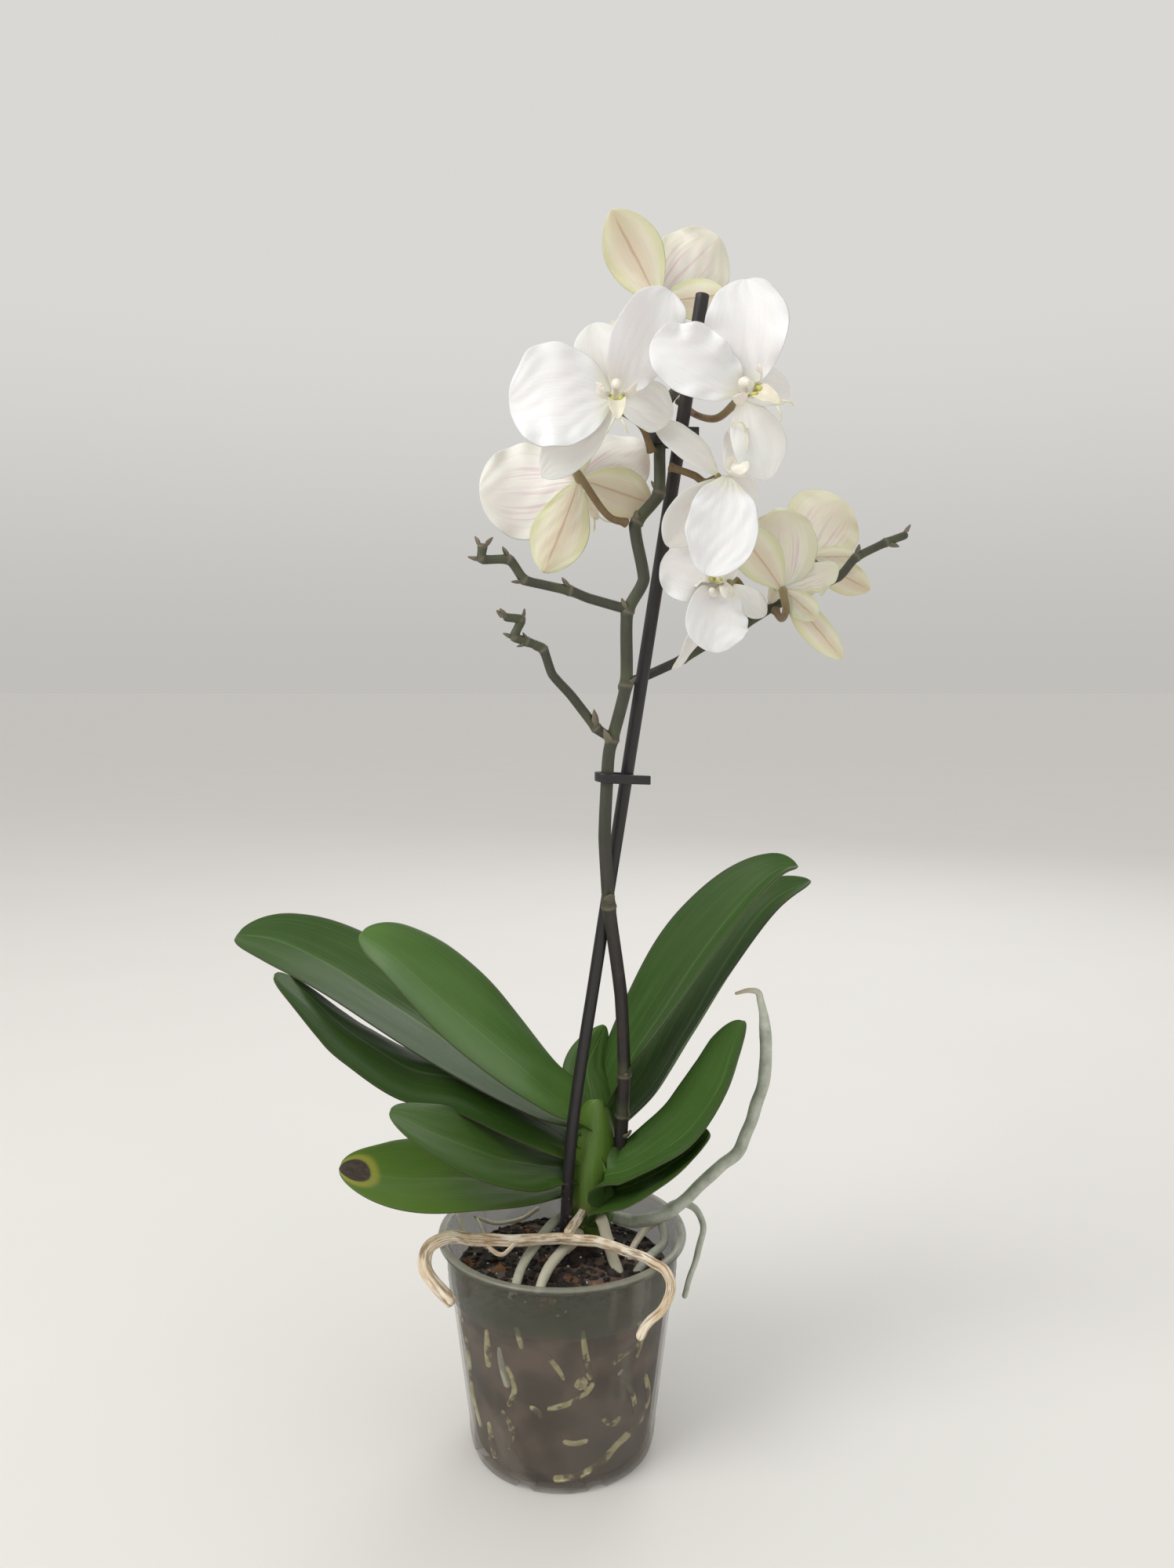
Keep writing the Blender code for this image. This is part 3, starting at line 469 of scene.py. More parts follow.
inner = [(COLLAR_OUT + 0.0006, LIP), (COLLAR_OUT - 0.0004, LIP - 0.0004), (COLLAR_OUT - WALL, LIP - 0.0014),
         (COLLAR_OUT - 0.0018 - WALL, COLLAR_FOOT + 0.001), (BODY_TOP_OUT - WALL, COLLAR_FOOT - 0.0004),
         (wall_radius(0.03) - WALL, 0.03), (FOOT_OUT - WALL, 0.0026), (FOOT_OUT - 0.0030, 0.0016),
         (FOOT_OUT - 0.008, 0.0016), (0.004, 0.0016), (0.0, 0.0016)]
profile = np.array([(0.0, 0.0), (0.004, 0.0)] + outer + inner)
print("pot profile of", len(profile), "points")

# %% The pot, with drainage notches round its foot
POT_TURNS = 160
NOTCHES, NOTCH_RADIUS, NOTCH_FLATTENING = 8, 0.0046, 0.62
pot_wobble = wander(3, 4, 1.0, 3.0)
angles = full_turn(POT_TURNS)
uneven = 1.0 + 0.0025 * pot_wobble(np.cos(angles)[None, :] * 0.5, np.sin(angles)[None, :] * 0.5) \
    * (profile[:, 1:2] / LIP)
rings = np.stack([profile[:, :1] * uneven * np.cos(angles), profile[:, :1] * uneven * np.sin(angles),
                  np.broadcast_to(profile[:, 1:2], (len(profile), POT_TURNS + 1))], axis=-1)
pot_skin = Skin()
pot_skin.grid(rings, angles[None, :] / math.tau, profile[:, 1:2])
pot_shell = pot_skin.make("pot_shell", plastic, "pot")
notch_maker = bmesh.new()
for number in range(NOTCHES):
    turn = math.tau * (number + 0.5) / NOTCHES
    ring = bmesh.ops.create_cone(notch_maker, cap_ends=True, segments=12, radius1=NOTCH_RADIUS,
                                 radius2=NOTCH_RADIUS, depth=0.012)["verts"]
    for corner in ring:
        along_wall, up_wall, through = corner.co.x, corner.co.y * NOTCH_FLATTENING, corner.co.z
        corner.co.x = (FOOT_OUT + through) * math.cos(turn) - along_wall * math.sin(turn)
        corner.co.y = (FOOT_OUT + through) * math.sin(turn) + along_wall * math.cos(turn)
        corner.co.z = up_wall
notch_mesh = bpy.data.meshes.new("notches")
bmesh.ops.recalc_face_normals(notch_maker, faces=notch_maker.faces)
notch_maker.to_mesh(notch_mesh)
notch_maker.free()
notches = put("notches", notch_mesh)
cut = pot_shell.modifiers.new("notches", "BOOLEAN")
cut.operation = "DIFFERENCE"
cut.solver = "EXACT"
cut.object = notches
holed = bpy.data.meshes.new_from_object(pot_shell.evaluated_get(bpy.context.evaluated_depsgraph_get()))
pot_shell.modifiers.clear()
pot_shell.data = holed
holed.shade_smooth()
holed.set_sharp_from_angle(angle=math.radians(40))
bpy.data.objects.remove(notches, do_unlink=True)
print("pot shell cut:", len(holed.polygons), "faces")

# %% [markdown]
# ## The root ball
# The pot holds coarse bark with a little white perlite. The bark has settled against the wall, dark and damp
# below and drier on top. A dark core fills the pot, and Geometry Nodes scatter chips over it: points on the
# core's faces, a rough chip on each, turned and sized at random from a fixed seed.

# %% Bark, perlite and their finishes
def damp_bark():
    finish = Finish("damp_bark")
    blotch = finish.noise(60.0, 2.0, 0.45)
    cool = finish.noise(16.0, 2.0, 0.5)
    fibre = finish.streaks((150.0, 150.0, 60.0), 3.0, 0.5)
    warm = finish.blend(blotch.step(0.36, 0.66), (0.020, 0.014, 0.012), (0.150, 0.098, 0.075))
    colour = finish.blend(cool.step(0.50, 0.64) * 0.75, warm, (0.060, 0.055, 0.062))
    return finish.surface(colour, 0.62 + fibre * 0.3, fibre * 0.5 + blotch, 0.0008, 0.4)


def dry_bark():
    finish = Finish("dry_bark")
    chip = finish.cells(160.0, "Color")
    fibre = finish.streaks((1400.0, 500.0, 500.0), 5.0, 0.65)
    pick = finish.add("ShaderNodeSeparateColor", {}, {0: chip}, 0)
    brown = finish.blend(pick, (0.010, 0.008, 0.007), (0.050, 0.036, 0.028))
    colour = finish.blend(pick.step(0.93, 0.98), brown, (0.30, 0.13, 0.05))
    return finish.surface(colour, 0.70 + fibre * 0.25, fibre, 0.0006, 0.9)


def perlite():
    finish = Finish("perlite")
    grain = finish.noise(700.0, 4.0, 0.7)
    colour = finish.blend(grain, (0.66, 0.65, 0.60), (0.88, 0.88, 0.85))
    return finish.surface(colour, 0.9, grain, 0.0004, 0.8)


damp, dry, white = damp_bark(), dry_bark(), perlite()

# %% The core
MIX_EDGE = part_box("potting_mix")[1][2] - 0.005
CORE_GAP = 0.0024
NEAR_RADIUS = 0.05
core_profile = [(0.0, 0.0030), (FOOT_OUT - 0.0040, 0.0030), (wall_radius(0.006) - 0.0026, 0.006)]
core_profile += [(wall_radius(h) - CORE_GAP, h) for h in np.linspace(0.009, COLLAR_FOOT - 0.001, 40)]
core_profile += [(COLLAR_OUT - 0.0046, COLLAR_FOOT + 0.002), (COLLAR_OUT - 0.0044, MIX_EDGE - 0.001)]
core_profile += [((COLLAR_OUT - 0.005) * math.cos(a), MIX_EDGE + 0.0042 * math.sin(a))
                 for a in np.linspace(0.05, math.pi / 2, 26)]
core_profile = np.array(core_profile)
CORE_TURNS = 144
around = full_turn(CORE_TURNS)
lumps, grit = wander(11, 9, 1.0, 3.5), wander(12, 14, 3.0, 8.0)
flat_x = core_profile[:, :1] * np.cos(around) / NEAR_RADIUS
flat_y = core_profile[:, :1] * np.sin(around) / NEAR_RADIUS
tall = core_profile[:, 1:2] / NEAR_RADIUS
rough_up = lumps(flat_x + tall, flat_y - tall) * 0.5 + grit(flat_x - tall, flat_y + tall) * 0.5
on_top = (core_profile[:, 1:2] > MIX_EDGE - 0.0005).astype(float)
inward = 1.0 - (1 - on_top) * 0.010 * (0.5 + 0.5 * rough_up)
core_points = np.stack([core_profile[:, :1] * inward * np.cos(around), core_profile[:, :1] * inward * np.sin(around),
                        core_profile[:, 1:2] + on_top * 0.0014 * rough_up], axis=-1)
core_skin = Skin()
core_skin.grid(core_points, around[None, :] / math.tau, core_profile[:, 1:2])
core_skin.make("root_ball", damp, "potting_mix")

# %% A node tree that scatters chips
def scatter_tree(name, finish):
    """Points on the faces it is given, and a rough chip on each."""
    tree = bpy.data.node_groups.new(name, "GeometryNodeTree")
    titles = {"Ground": "Geometry", "Spacing": "Float", "Density": "Float", "Length": "Float",
              "Thinness": "Float", "Roundness": "Int", "Seed": "Int"}
    for title, kind in titles.items():
        tree.interface.new_socket(title, in_out="INPUT", socket_type="NodeSocket" + kind)
    tree.interface.new_socket("Chips", in_out="OUTPUT", socket_type="NodeSocketGeometry")
    net = Net(tree)
    given = {title: net.add("NodeGroupInput", output=title) for title in titles}

    def chance(low, high):
        return net.add("FunctionNodeRandomValue", {"data_type": "FLOAT_VECTOR"},
                       {0: low, 1: high, "Seed": given["Seed"]})

    points = net.add("GeometryNodeDistributePointsOnFaces", {"distribute_method": "POISSON"},
                     {"Mesh": given["Ground"], "Distance Min": given["Spacing"],
                      "Density Max": given["Density"], "Seed": given["Seed"]}, "Points")
    ball = net.add("GeometryNodeMeshIcoSphere", {}, {"Radius": 0.5, "Subdivisions": given["Roundness"]})
    turn = net.add("FunctionNodeEulerToRotation", {}, {0: chance((-0.5, -0.5, 0.0), (0.5, 0.5, math.tau))})
    lean = net.add("FunctionNodeRotateRotation", {"rotation_space": "LOCAL"},
                   {"Rotation": points.also("Rotation"), "Rotate By": turn})
    sides = net.add("ShaderNodeCombineXYZ", {}, {0: given["Length"], 1: given["Length"], 2: given["Thinness"]})
    size = net.add("ShaderNodeVectorMath", {"operation": "MULTIPLY"},
                   {0: chance((0.45, 0.35, 0.6), (1.0, 0.7, 1.0)), 1: sides})
    chips = net.add("GeometryNodeInstanceOnPoints", {},
                    {"Points": points, "Instance": ball, "Rotation": lean, "Scale": size})
    real = net.add("GeometryNodeRealizeInstances", {}, {0: chips})
    knock = net.add("ShaderNodeTexNoise", {}, {"Vector": net.add("GeometryNodeInputPosition"), "Scale": 330.0,
                                               "Detail": 1.0}, "Color")
    centred = net.add("ShaderNodeVectorMath", {"operation": "SUBTRACT"}, {0: knock, 1: (0.5, 0.5, 0.5)})
    small = net.add("ShaderNodeVectorMath", {"operation": "SCALE"}, {0: centred, "Scale": given["Thinness"]})
    moved = net.add("GeometryNodeSetPosition", {}, {"Geometry": real, "Offset": small})
    flat = net.add("GeometryNodeSetShadeSmooth", {}, {0: moved, "Shade Smooth": False})
    coat = net.add("GeometryNodeSetMaterial", {}, {"Geometry": flat, "Material": finish})
    net.add("NodeGroupOutput", {}, {0: coat})
    return tree


def run_tree(name, ground, tree, slot, **sizes):
    """Runs a tree on a ground mesh and keeps the result as a plain mesh."""
    holder = put(name + "_ground", ground)
    scatter = holder.modifiers.new("scatter", "NODES")
    scatter.node_group = tree
    sockets = {item.name: item.identifier for item in tree.interface.items_tree if item.in_out == "INPUT"}
    for title, value in sizes.items():
        scatter[sockets[title]] = value
    mesh = bpy.data.meshes.new_from_object(holder.evaluated_get(bpy.context.evaluated_depsgraph_get()))
    holder.modifiers.clear()
    bpy.data.objects.remove(holder, do_unlink=True)
    mesh.name = name
    place_piece(name, mesh, None)


# %% Chips on the top and grains of perlite
def ground_from(points):
    mesh = bpy.data.meshes.new("ground")
    skin = Skin()
    skin.grid(points, 0.0, 0.0)
    mesh.from_pydata(points.reshape(-1, 3).tolist(), [], skin.faces[0].tolist())
    return mesh


first_top = int(np.argmax(core_profile[:, 1] > MIX_EDGE - 0.0005))
top_points = core_points[first_top:].copy()
top_points[..., :2] *= 0.955
run_tree("bark_chips", ground_from(top_points), scatter_tree("scatter_bark", dry), "potting_mix",
         Spacing=0.0030, Density=90000.0, Length=0.0085, Thinness=0.0030, Roundness=1, Seed=4)
run_tree("perlite_grains", ground_from(top_points), scatter_tree("scatter_perlite", white), "potting_mix",
         Spacing=0.0045, Density=26000.0, Length=0.0022, Thinness=0.0018, Roundness=1, Seed=9)

# %% [markdown]
# ## Roots
# A moth orchid's roots are thick and spongy: grey-green and mottled where they live, straw-coloured and
# grooved where they have dried. Each is a round skin along its path, with long grooves added to its radius
# and a slow change of thickness. Those that grew out over the rim are seen best, so they get the most care.

# %% Root finishes
def living_root():
    finish = Finish("living_root")
    blotch = finish.noise(130.0, 4.0, 0.6)
    speck = finish.noise(520.0, 3.0, 0.6)
    silver = finish.blend(blotch.step(0.30, 0.68), (0.34, 0.37, 0.30), (0.70, 0.72, 0.64))
    green = finish.blend(speck, (0.19, 0.24, 0.14), (0.33, 0.37, 0.26))
    colour = finish.blend(finish.tint(0), silver, (0.50, 0.42, 0.28))
    colour = finish.blend(blotch.step(0.40, 0.56) * finish.tint(1), colour, green)
    colour = finish.blend(finish.tint(2), colour, (0.62, 0.58, 0.44))
    return finish.surface(colour, 0.62 + speck * 0.2, speck * 0.6 + blotch, 0.0005, 0.7)


def dry_root():
    finish = Finish("dry_root")
    uv = finish.skin_uv()
    grooves = finish.streaks((14.0, 90.0, 1.0), 3.0, 0.6, uv)
    patch = finish.noise(75.0, 3.0, 0.6)
    colour = finish.blend(patch.step(0.30, 0.70), (0.66, 0.51, 0.33), (0.93, 0.84, 0.69))
    colour = finish.blend(grooves.step(0.53, 0.36) * 0.85, colour, (0.27, 0.17, 0.09))
    colour = finish.blend(finish.tint(1), colour, (0.84, 0.77, 0.62))
    return finish.surface(colour, 0.78, grooves + patch * 0.3, 0.0007, 0.9)


def wall_root():
    finish = Finish("wall_root")
    blotch = finish.noise(210.0, 4.0, 0.65)
    drift = finish.noise(95.0, 3.0, 0.6)
    colour = finish.blend(blotch.step(0.30, 0.66), (0.52, 0.48, 0.17), (0.95, 0.90, 0.52))
    colour = finish.blend(drift.step(0.47, 0.57) * 0.95, colour, (0.07, 0.05, 0.03))
    return finish.surface(colour, 0.7, blotch, 0.0005, 0.6)


silver_root, straw_root, flat_root = living_root(), dry_root(), wall_root()

# %% Root paths, from the level of the lip
ROOTS = {
    "root_over_front": (
        [(-0.050, -0.034, -0.0187), (-0.0585, -0.030, -0.0127), (-0.0635, -0.026, -0.0067), (-0.0620, -0.021, 0.0003),
         (-0.055, -0.020, 0.0038), (-0.048, -0.020, 0.0048), (-0.035, -0.022, 0.0043), (-0.022, -0.020, 0.0033),
         (-0.008, -0.014, 0.0008), (0.002, -0.012, 0.0003), (0.012, -0.014, 0.0003), (0.025, -0.021, 0.0008),
         (0.034, -0.031, 0.0018), (0.041, -0.038, 0.0023), (0.047, -0.043, 0.0018), (0.0495, -0.047, -0.0047),
         (0.047, -0.051, -0.0107), (0.040, -0.053, -0.0177), (0.036, -0.054, -0.0237)], 2.1, 1.6),
    "root_aerial": (
        [(0.026, 0.013, -0.0017), (0.034, 0.008, -0.0007), (0.042, 0.004, 0.0018), (0.050, 0.004, 0.0048),
         (0.060, 0.006, 0.0113), (0.070, 0.006, 0.0213), (0.078, 0.006, 0.0283), (0.086, 0.006, 0.0363),
         (0.091, 0.006, 0.0493), (0.097, 0.006, 0.0673), (0.0985, 0.006, 0.0843), (0.098, 0.006, 0.0983),
         (0.096, 0.006, 0.1103), (0.0945, 0.006, 0.1148), (0.089, 0.006, 0.1158), (0.084, 0.006, 0.1143)], 2.8, 0.9),
    "root_over_right": (
        [(0.036, -0.010, -0.0177), (0.041, -0.008, -0.0117), (0.0495, 0.001, -0.0077),
         (0.0488, 0.0095, 0.0010), (0.0560, 0.0148, 0.0052), (0.062, 0.016, 0.0043),
         (0.067, 0.015, 0.0013), (0.0695, 0.012, -0.0047), (0.068, 0.008, -0.0117),
         (0.065, 0.004, -0.0197), (0.0615, 0.000, -0.0277), (0.0595, -0.003, -0.0327)], 2.0, 1.4),
    "root_front": (
        [(0.0190, 0.0002, 0.0040), (0.0198, 0.000, 0.0020), (0.0215, -0.001, -0.0037),
         (0.024, -0.005, -0.0117), (0.028, -0.011, -0.0197), (0.033, -0.020, -0.0297),
         (0.034, -0.030, -0.0397), (0.026, -0.038, -0.0497)], 2.3, 1.7),
    "root_inner_right": (
        [(0.051, 0.016, -0.0027), (0.043, 0.011, -0.0047), (0.036, 0.003, -0.0087), (0.0335, 0.001, -0.0147),
         (0.0335, -0.001, -0.0237)], 1.7, 1.5),
    "root_left": (
        [(0.004, 0.015, 0.0003), (-0.004, 0.006, -0.0002), (-0.011, -0.006, -0.0037), (-0.018, -0.020, -0.0087),
         (-0.022, -0.031, -0.0167), (-0.0255, -0.0385, -0.0287), (-0.027, -0.040, -0.0417), (-0.024, -0.041, -0.0537)],
        2.0, 1.5),
    "root_pale": (
        [(0.0080, 0.0045, -0.0052), (0.004, -0.004, -0.0067), (-0.004, -0.016, -0.0092), (-0.009, -0.028, -0.0137),
         (-0.010, -0.036, -0.0227), (-0.006, -0.0445, -0.0337), (0.003, -0.0465, -0.0437), (0.012, -0.0445, -0.0537)],
        2.3, 1.6),
    "root_thin": (
        [(-0.013, 0.031, -0.0052), (-0.020, 0.031, -0.0097), (-0.028, 0.030, -0.0117), (-0.035, 0.030, -0.0122),
         (-0.045, 0.029, -0.0087)], 1.0, 0.8),
}
ROOT_ROWS_STEP = 0.0009


def root_shape(seed, grooves, depth):
    """Long grooves that wander a little round the root, and knots along it."""
    twist, knots = wander(seed, 4, 6.0, 20.0), wander(seed + 50, 6, 20.0, 90.0)

    def shape(along, turn):
        groove = np.abs(np.sin(turn * grooves / 2 + twist(along) * 0.7)) ** 0.6
        return depth * (groove - 0.75) + 0.10 * knots(along, np.cos(turn) * 0.01)

    return shape


def root_piece(name, points, first, last, finish, seed, grooves, depth, tint, twigs=(), hold=0.0,
               kink=0.0003):
    """One root: its radius keeps to the first up to the hold share, and kink is how far it strays, in metres."""
    skin = Skin()
    path, reach = smooth_path(raised(points), ROOT_ROWS_STEP)
    stray = [wander(seed + 20 + k, 6, 15.0, 70.0)(reach) for k in range(3)]
    path = path + kink * np.stack(stray, axis=-1)
    shares = np.clip(np.linspace(0.0, 1.0, len(path)) - hold, 0.0, 1.0) / (1.0 - hold)
    radius = (first + (last - first) * shares) * MM
    sweep(skin, path, radius, 24, root_shape(seed, grooves, depth), tint, (0.6, 1.2))
    for number, (twig, one, two) in enumerate(twigs):
        bit, _ = smooth_path(raised(twig), ROOT_ROWS_STEP)
        thickness = (one + (two - one) * np.linspace(0.0, 1.0, len(bit))) * MM
        sweep(skin, bit, thickness, 14, root_shape(seed + 7 + number, grooves, depth), tint, (0.5, 1.6))
    skin.make(name, finish, name)


# %% The straw-coloured root that lies across the front of the rim
front = ROOTS["root_over_front"]
front_twigs = [
    ([(0.003, -0.0125, 0.0030), (0.006, -0.004, 0.0035), (0.0095, 0.004, 0.0050), (0.012, 0.010, 0.0075)],
     2.4, 2.0),
    ([(-0.036, -0.0215, 0.0040), (-0.032, -0.0250, 0.0010), (-0.027, -0.0262, -0.0005),
      (-0.0215, -0.0225, 0.0030)], 1.1, 0.9),
]
root_piece("root_over_front", front[0], 2.9, 1.9, straw_root, 21, 5, 0.44, PLAIN_TINT,
           front_twigs, hold=0.15, kink=0.0007)

# %% The long aerial root and the arched root on the right
def aerial_tint(along, turn):
    dry_tip = np.clip((along - 0.150) / 0.020, 0.0, 1.0)
    return np.stack([dry_tip, 0.30 * (1 - dry_tip), 0.0 * along, 1.0 + 0.0 * along], axis=-1)


aerial = ROOTS["root_aerial"]
root_piece("root_aerial", aerial[0], 3.0, 0.8, silver_root, 31, 3, 0.10, aerial_tint,
           hold=0.80, kink=0.0004)
arched = ROOTS["root_over_right"]
root_piece("root_over_right", arched[0], 2.2, 1.3, silver_root, 41, 3, 0.12, (0.0, 0.4, 0.0, 1.0))

# %% Roots inside the pot, and the thin dry ones
for name, extra, tint, seed in (("root_front", 0.6, (0.20, 0.10, 0.85, 1.0), 51),
                                ("root_pale", 0.4, (0.1, 0.2, 0.75, 1.0), 61),
                                ("root_left", 0.4, (0.1, 0.6, 0.30, 1.0), 71)):
    points, first, last = ROOTS[name]
    root_piece(name, points, first + extra, last + extra, silver_root, seed, 3, 0.12, tint)
points, first, last = ROOTS["root_inner_right"]
root_piece("root_inner_right", points, first, last, straw_root, 81, 4, 0.2, (0.0, 0.7, 0.0, 1.0))
thin_twigs = [
    ([(-0.053, 0.0155, 0.0015), (-0.050, 0.010, -0.004), (-0.046, 0.004, -0.010)], 0.9, 0.6),
    ([(-0.044, 0.026, -0.008), (-0.040, 0.018, -0.012), (-0.038, 0.010, -0.0155)], 0.8, 0.6),
]
points, first, last = ROOTS["root_thin"]
root_piece("root_thin", points, 1.1, 0.8, straw_root, 91, 3, 0.25, (0.0, 0.8, 0.0, 1.0), thin_twigs)

# %% [markdown]
# ## Roots pressed against the wall
# Where a root meets the clear wall it flattens against it and follows it, and its green or straw colour shows
# through the plastic. Each is given by its turn round the pot from the front, in degrees, and its height in
# millimetres, and laid on the root ball's surface.

# %% Pressed roots
PRESSED = {
    "a": ([(-41.5, 76), (-42.5, 66), (-43.2, 56)], 1.6),
    "b": ([(-22.5, 83), (-21.2, 78), (-20.0, 72)], 1.6),
    "c": ([(11.3, 83), (12.8, 72), (14.6, 64), (16.2, 57)], 1.5),
    "d": ([(8.7, 58), (11.0, 56), (13.5, 53.5)], 2.2),
    "e": ([(18.5, 55.5), (12.9, 50), (4.0, 46), (-7.5, 43)], 1.3),
    "f": ([(-17.5, 43.5), (-13.3, 41.4), (-10.2, 38)], 1.1),
    "g": ([(27.5, 62), (35.7, 65.6), (47.0, 67)], 1.3),
    "h": ([(56.0, 47), (64.0, 33), (60.0, 26.5), (48.5, 22.2), (35.7, 18.5), (25.8, 12.8), (14.0, 8.8), (4.0, 7.2),
           (-5.0, 6.8)], 1.9),
    "i": ([(1.0, 26.6), (8.2, 25.2), (16.5, 26.0)], 1.2),
    "j": ([(-49.2, 26), (-47.9, 16), (-46.0, 7.5)], 1.6),
    "k": ([(24.0, 36), (31.0, 31), (37.0, 33)], 1.2),
    "l": ([(-72.0, 70), (-66.0, 52), (-70.0, 33), (-60.0, 18)], 1.7),
    "m": ([(95.0, 76), (104.0, 58), (98.0, 40), (112.0, 24)], 1.7),
    "n": ([(150.0, 80), (141.0, 60), (155.0, 42), (148.0, 20)], 1.8),
    "o": ([(200.0, 74), (212.0, 60), (206.0, 35)], 1.5),
    "p": ([(238.0, 66), (250.0, 44), (244.0, 22), (262.0, 9)], 1.8),
    "r": ([(-30.0, 62), (-26.0, 51), (-31.0, 40)], 1.2),
    "s": ([(44.0, 80), (47.5, 70), (45.0, 60)], 1.4),
    "t": ([(-8.0, 72), (-2.0, 65), (2.5, 58)], 1.0),
    "u": ([(36.0, 52), (45.0, 42), (50.0, 29)], 1.3),
    "v": ([(-36.0, 37), (-30.0, 28), (-33.5, 17)], 1.2),
    "q": ([(170.0, 30), (186.0, 24), (204.0, 27), (222.0, 14)], 1.6),
}
pressed_skin = Skin()
for number, (route, thickness) in enumerate(PRESSED.values()):
    flat, _ = smooth_path([(math.radians(turn) * NEAR_RADIUS, height * MM, 0.0) for turn, height in route], 0.0010)
    turn, height = flat[:, 0] / NEAR_RADIUS, flat[:, 1]
    depth = wall_radius(height) - CORE_GAP
    path = np.stack([depth * np.sin(turn), -depth * np.cos(turn), height], axis=-1)
    thick_thin = 1.15 + 0.35 * wander(number + 340, 4, 8.0, 40.0)(np.arange(len(path)) * 0.001)
    taper = np.sin(np.linspace(0.25, 2.9, len(path))) ** 0.35 * thickness * thick_thin * MM
    flatten = np.minimum(taper, 0.00095)
    along, side, up = frames_along(path, (math.sin(turn[0]), -math.cos(turn[0]), 0.0))
    out = np.stack([np.sin(turn), -np.cos(turn), 0.0 * turn], axis=-1)
    out = unit(out - along * np.sum(out * along, axis=1, keepdims=True))
    wide = np.cross(along, out)
    round_it = full_turn(14)
    bumps = wander(number + 300, 5, 40.0, 160.0)(np.arange(len(path))[:, None] * 0.001, round_it[None, :] * 0.01)
    size = 1.0 + 0.12 * bumps
    ring = path[:, None] + out[:, None] * (flatten[:, None] * size * np.cos(round_it))[..., None] \
        + wide[:, None] * (taper[:, None] * size * np.sin(round_it))[..., None]
    ring[0], ring[-1] = ring[0].mean(axis=0), ring[-1].mean(axis=0)
    pressed_skin.grid(ring, round_it[None, :] / math.tau, np.arange(len(path))[:, None] * 0.001)
pressed_skin.make("pressed_roots", flat_root, None)

# %% [markdown]
# ## Stake and clips
# The stake is a thin rod with a dull black coat. The two clips are bent from a flat strip of black plastic
# that closes round spike and stake. The strip is swept along its bend with a rounded oblong section.

# %% Coated rod and clip plastic
def coated_rod():
    finish = Finish("coated_rod")
    scuff = finish.streaks((700.0, 700.0, 40.0), 4.0, 0.6)
    dust = finish.noise(60.0, 3.0, 0.6)
    colour = finish.blend(scuff, (0.012, 0.009, 0.011), (0.034, 0.028, 0.032))
    low = finish.split(finish.place, "Z").step(LIP + 0.035, LIP - 0.015)
    crumbs = finish.noise(420.0, 3.0, 0.6).step(0.60, 0.68) * low
    colour = finish.blend(crumbs, colour, (0.62, 0.58, 0.50))
    return finish.surface(colour, 0.34 + dust * 0.22, scuff + crumbs, 0.0003, 0.5)


def clip_plastic():
    finish = Finish("clip_plastic")
    grain = finish.noise(300.0, 3.0, 0.6)
    colour = finish.blend(grain, (0.010, 0.010, 0.011), (0.024, 0.023, 0.025))
    return finish.surface(colour, 0.36 + grain * 0.15, grain, 0.0001, 0.4)


rod, strip = coated_rod(), clip_plastic()

# %% Stem paths, from the level of the lip
STAKE = [(-0.001, 0.009, -0.0917), (0.001, 0.005, -0.0177), (0.005, -0.002, 0.0503), (0.016, -0.010, 0.1283),
         (0.029, -0.019, 0.2153), (0.042, -0.031, 0.3033), (0.060, -0.045, 0.4243)]
SPIKE = [(0.0265, 0.0185, 0.0233), (0.0285, 0.0150, 0.0333), (0.030, 0.006, 0.0733), (0.028, -0.004, 0.1163),
         (0.022, -0.0215, 0.1623), (0.020, -0.025, 0.1943), (0.021, -0.029, 0.2213), (0.022, -0.031, 0.2343),
         (0.029, -0.037, 0.2623), (0.029, -0.044, 0.2933), (0.036, -0.047, 0.3073), (0.032, -0.049, 0.3293),
         (0.042, -0.048, 0.3423), (0.0425, -0.0450, 0.3603), (0.0430, -0.0435, 0.3713), (0.0455, -0.036, 0.3820),
         (0.050, -0.0285, 0.3890), (0.057, -0.0255, 0.3945), (0.067, -0.023, 0.4040), (0.075, -0.023, 0.4163),
         (0.086, -0.023, 0.4343)]
BRANCHES = {
    "branch_left_lower": (0.2403, [(0.016, -0.033, 0.2440), (0.005, -0.036, 0.2583), (-0.003, -0.040, 0.2673),
                                   (-0.007, -0.042, 0.2783), (-0.014, -0.044, 0.2813), (-0.019, -0.046, 0.2833),
                                   (-0.016, -0.046, 0.2903), (-0.022, -0.048, 0.2913)]),
    "branch_left_upper": (0.2953, [(0.013, -0.047, 0.2993), (0.005, -0.050, 0.3023), (-0.005, -0.053, 0.3043),
                                   (-0.014, -0.056, 0.3063), (-0.020, -0.058, 0.3143), (-0.031, -0.060, 0.3143),
                                   (-0.031, -0.060, 0.3193)]),
    "branch_right": (0.2608, [(0.0278, -0.025, 0.2618), (0.0305, -0.016, 0.2638), (0.040, -0.015, 0.2673),
                              (0.055, -0.017, 0.2743), (0.070, -0.020, 0.2833), (0.082, -0.020, 0.2893),
                              (0.095, -0.020, 0.2973), (0.107, -0.020, 0.3033), (0.124, -0.020, 0.3103),
                              (0.132, -0.018, 0.3193), (0.146, -0.016, 0.3263), (0.154, -0.016, 0.3293)]),
}

# %% The stake
stake_path, _ = smooth_path(raised(STAKE), 0.002)
stake_skin = Skin()
sweep(stake_skin, stake_path, 2.9 * MM, 28, None, ends=(0.3, 0.35))
stake_skin.make("stake_rod", rod, "support_stake")

# %% The clips
CLIP_ROOM = (3.3 + 1.5) * MM


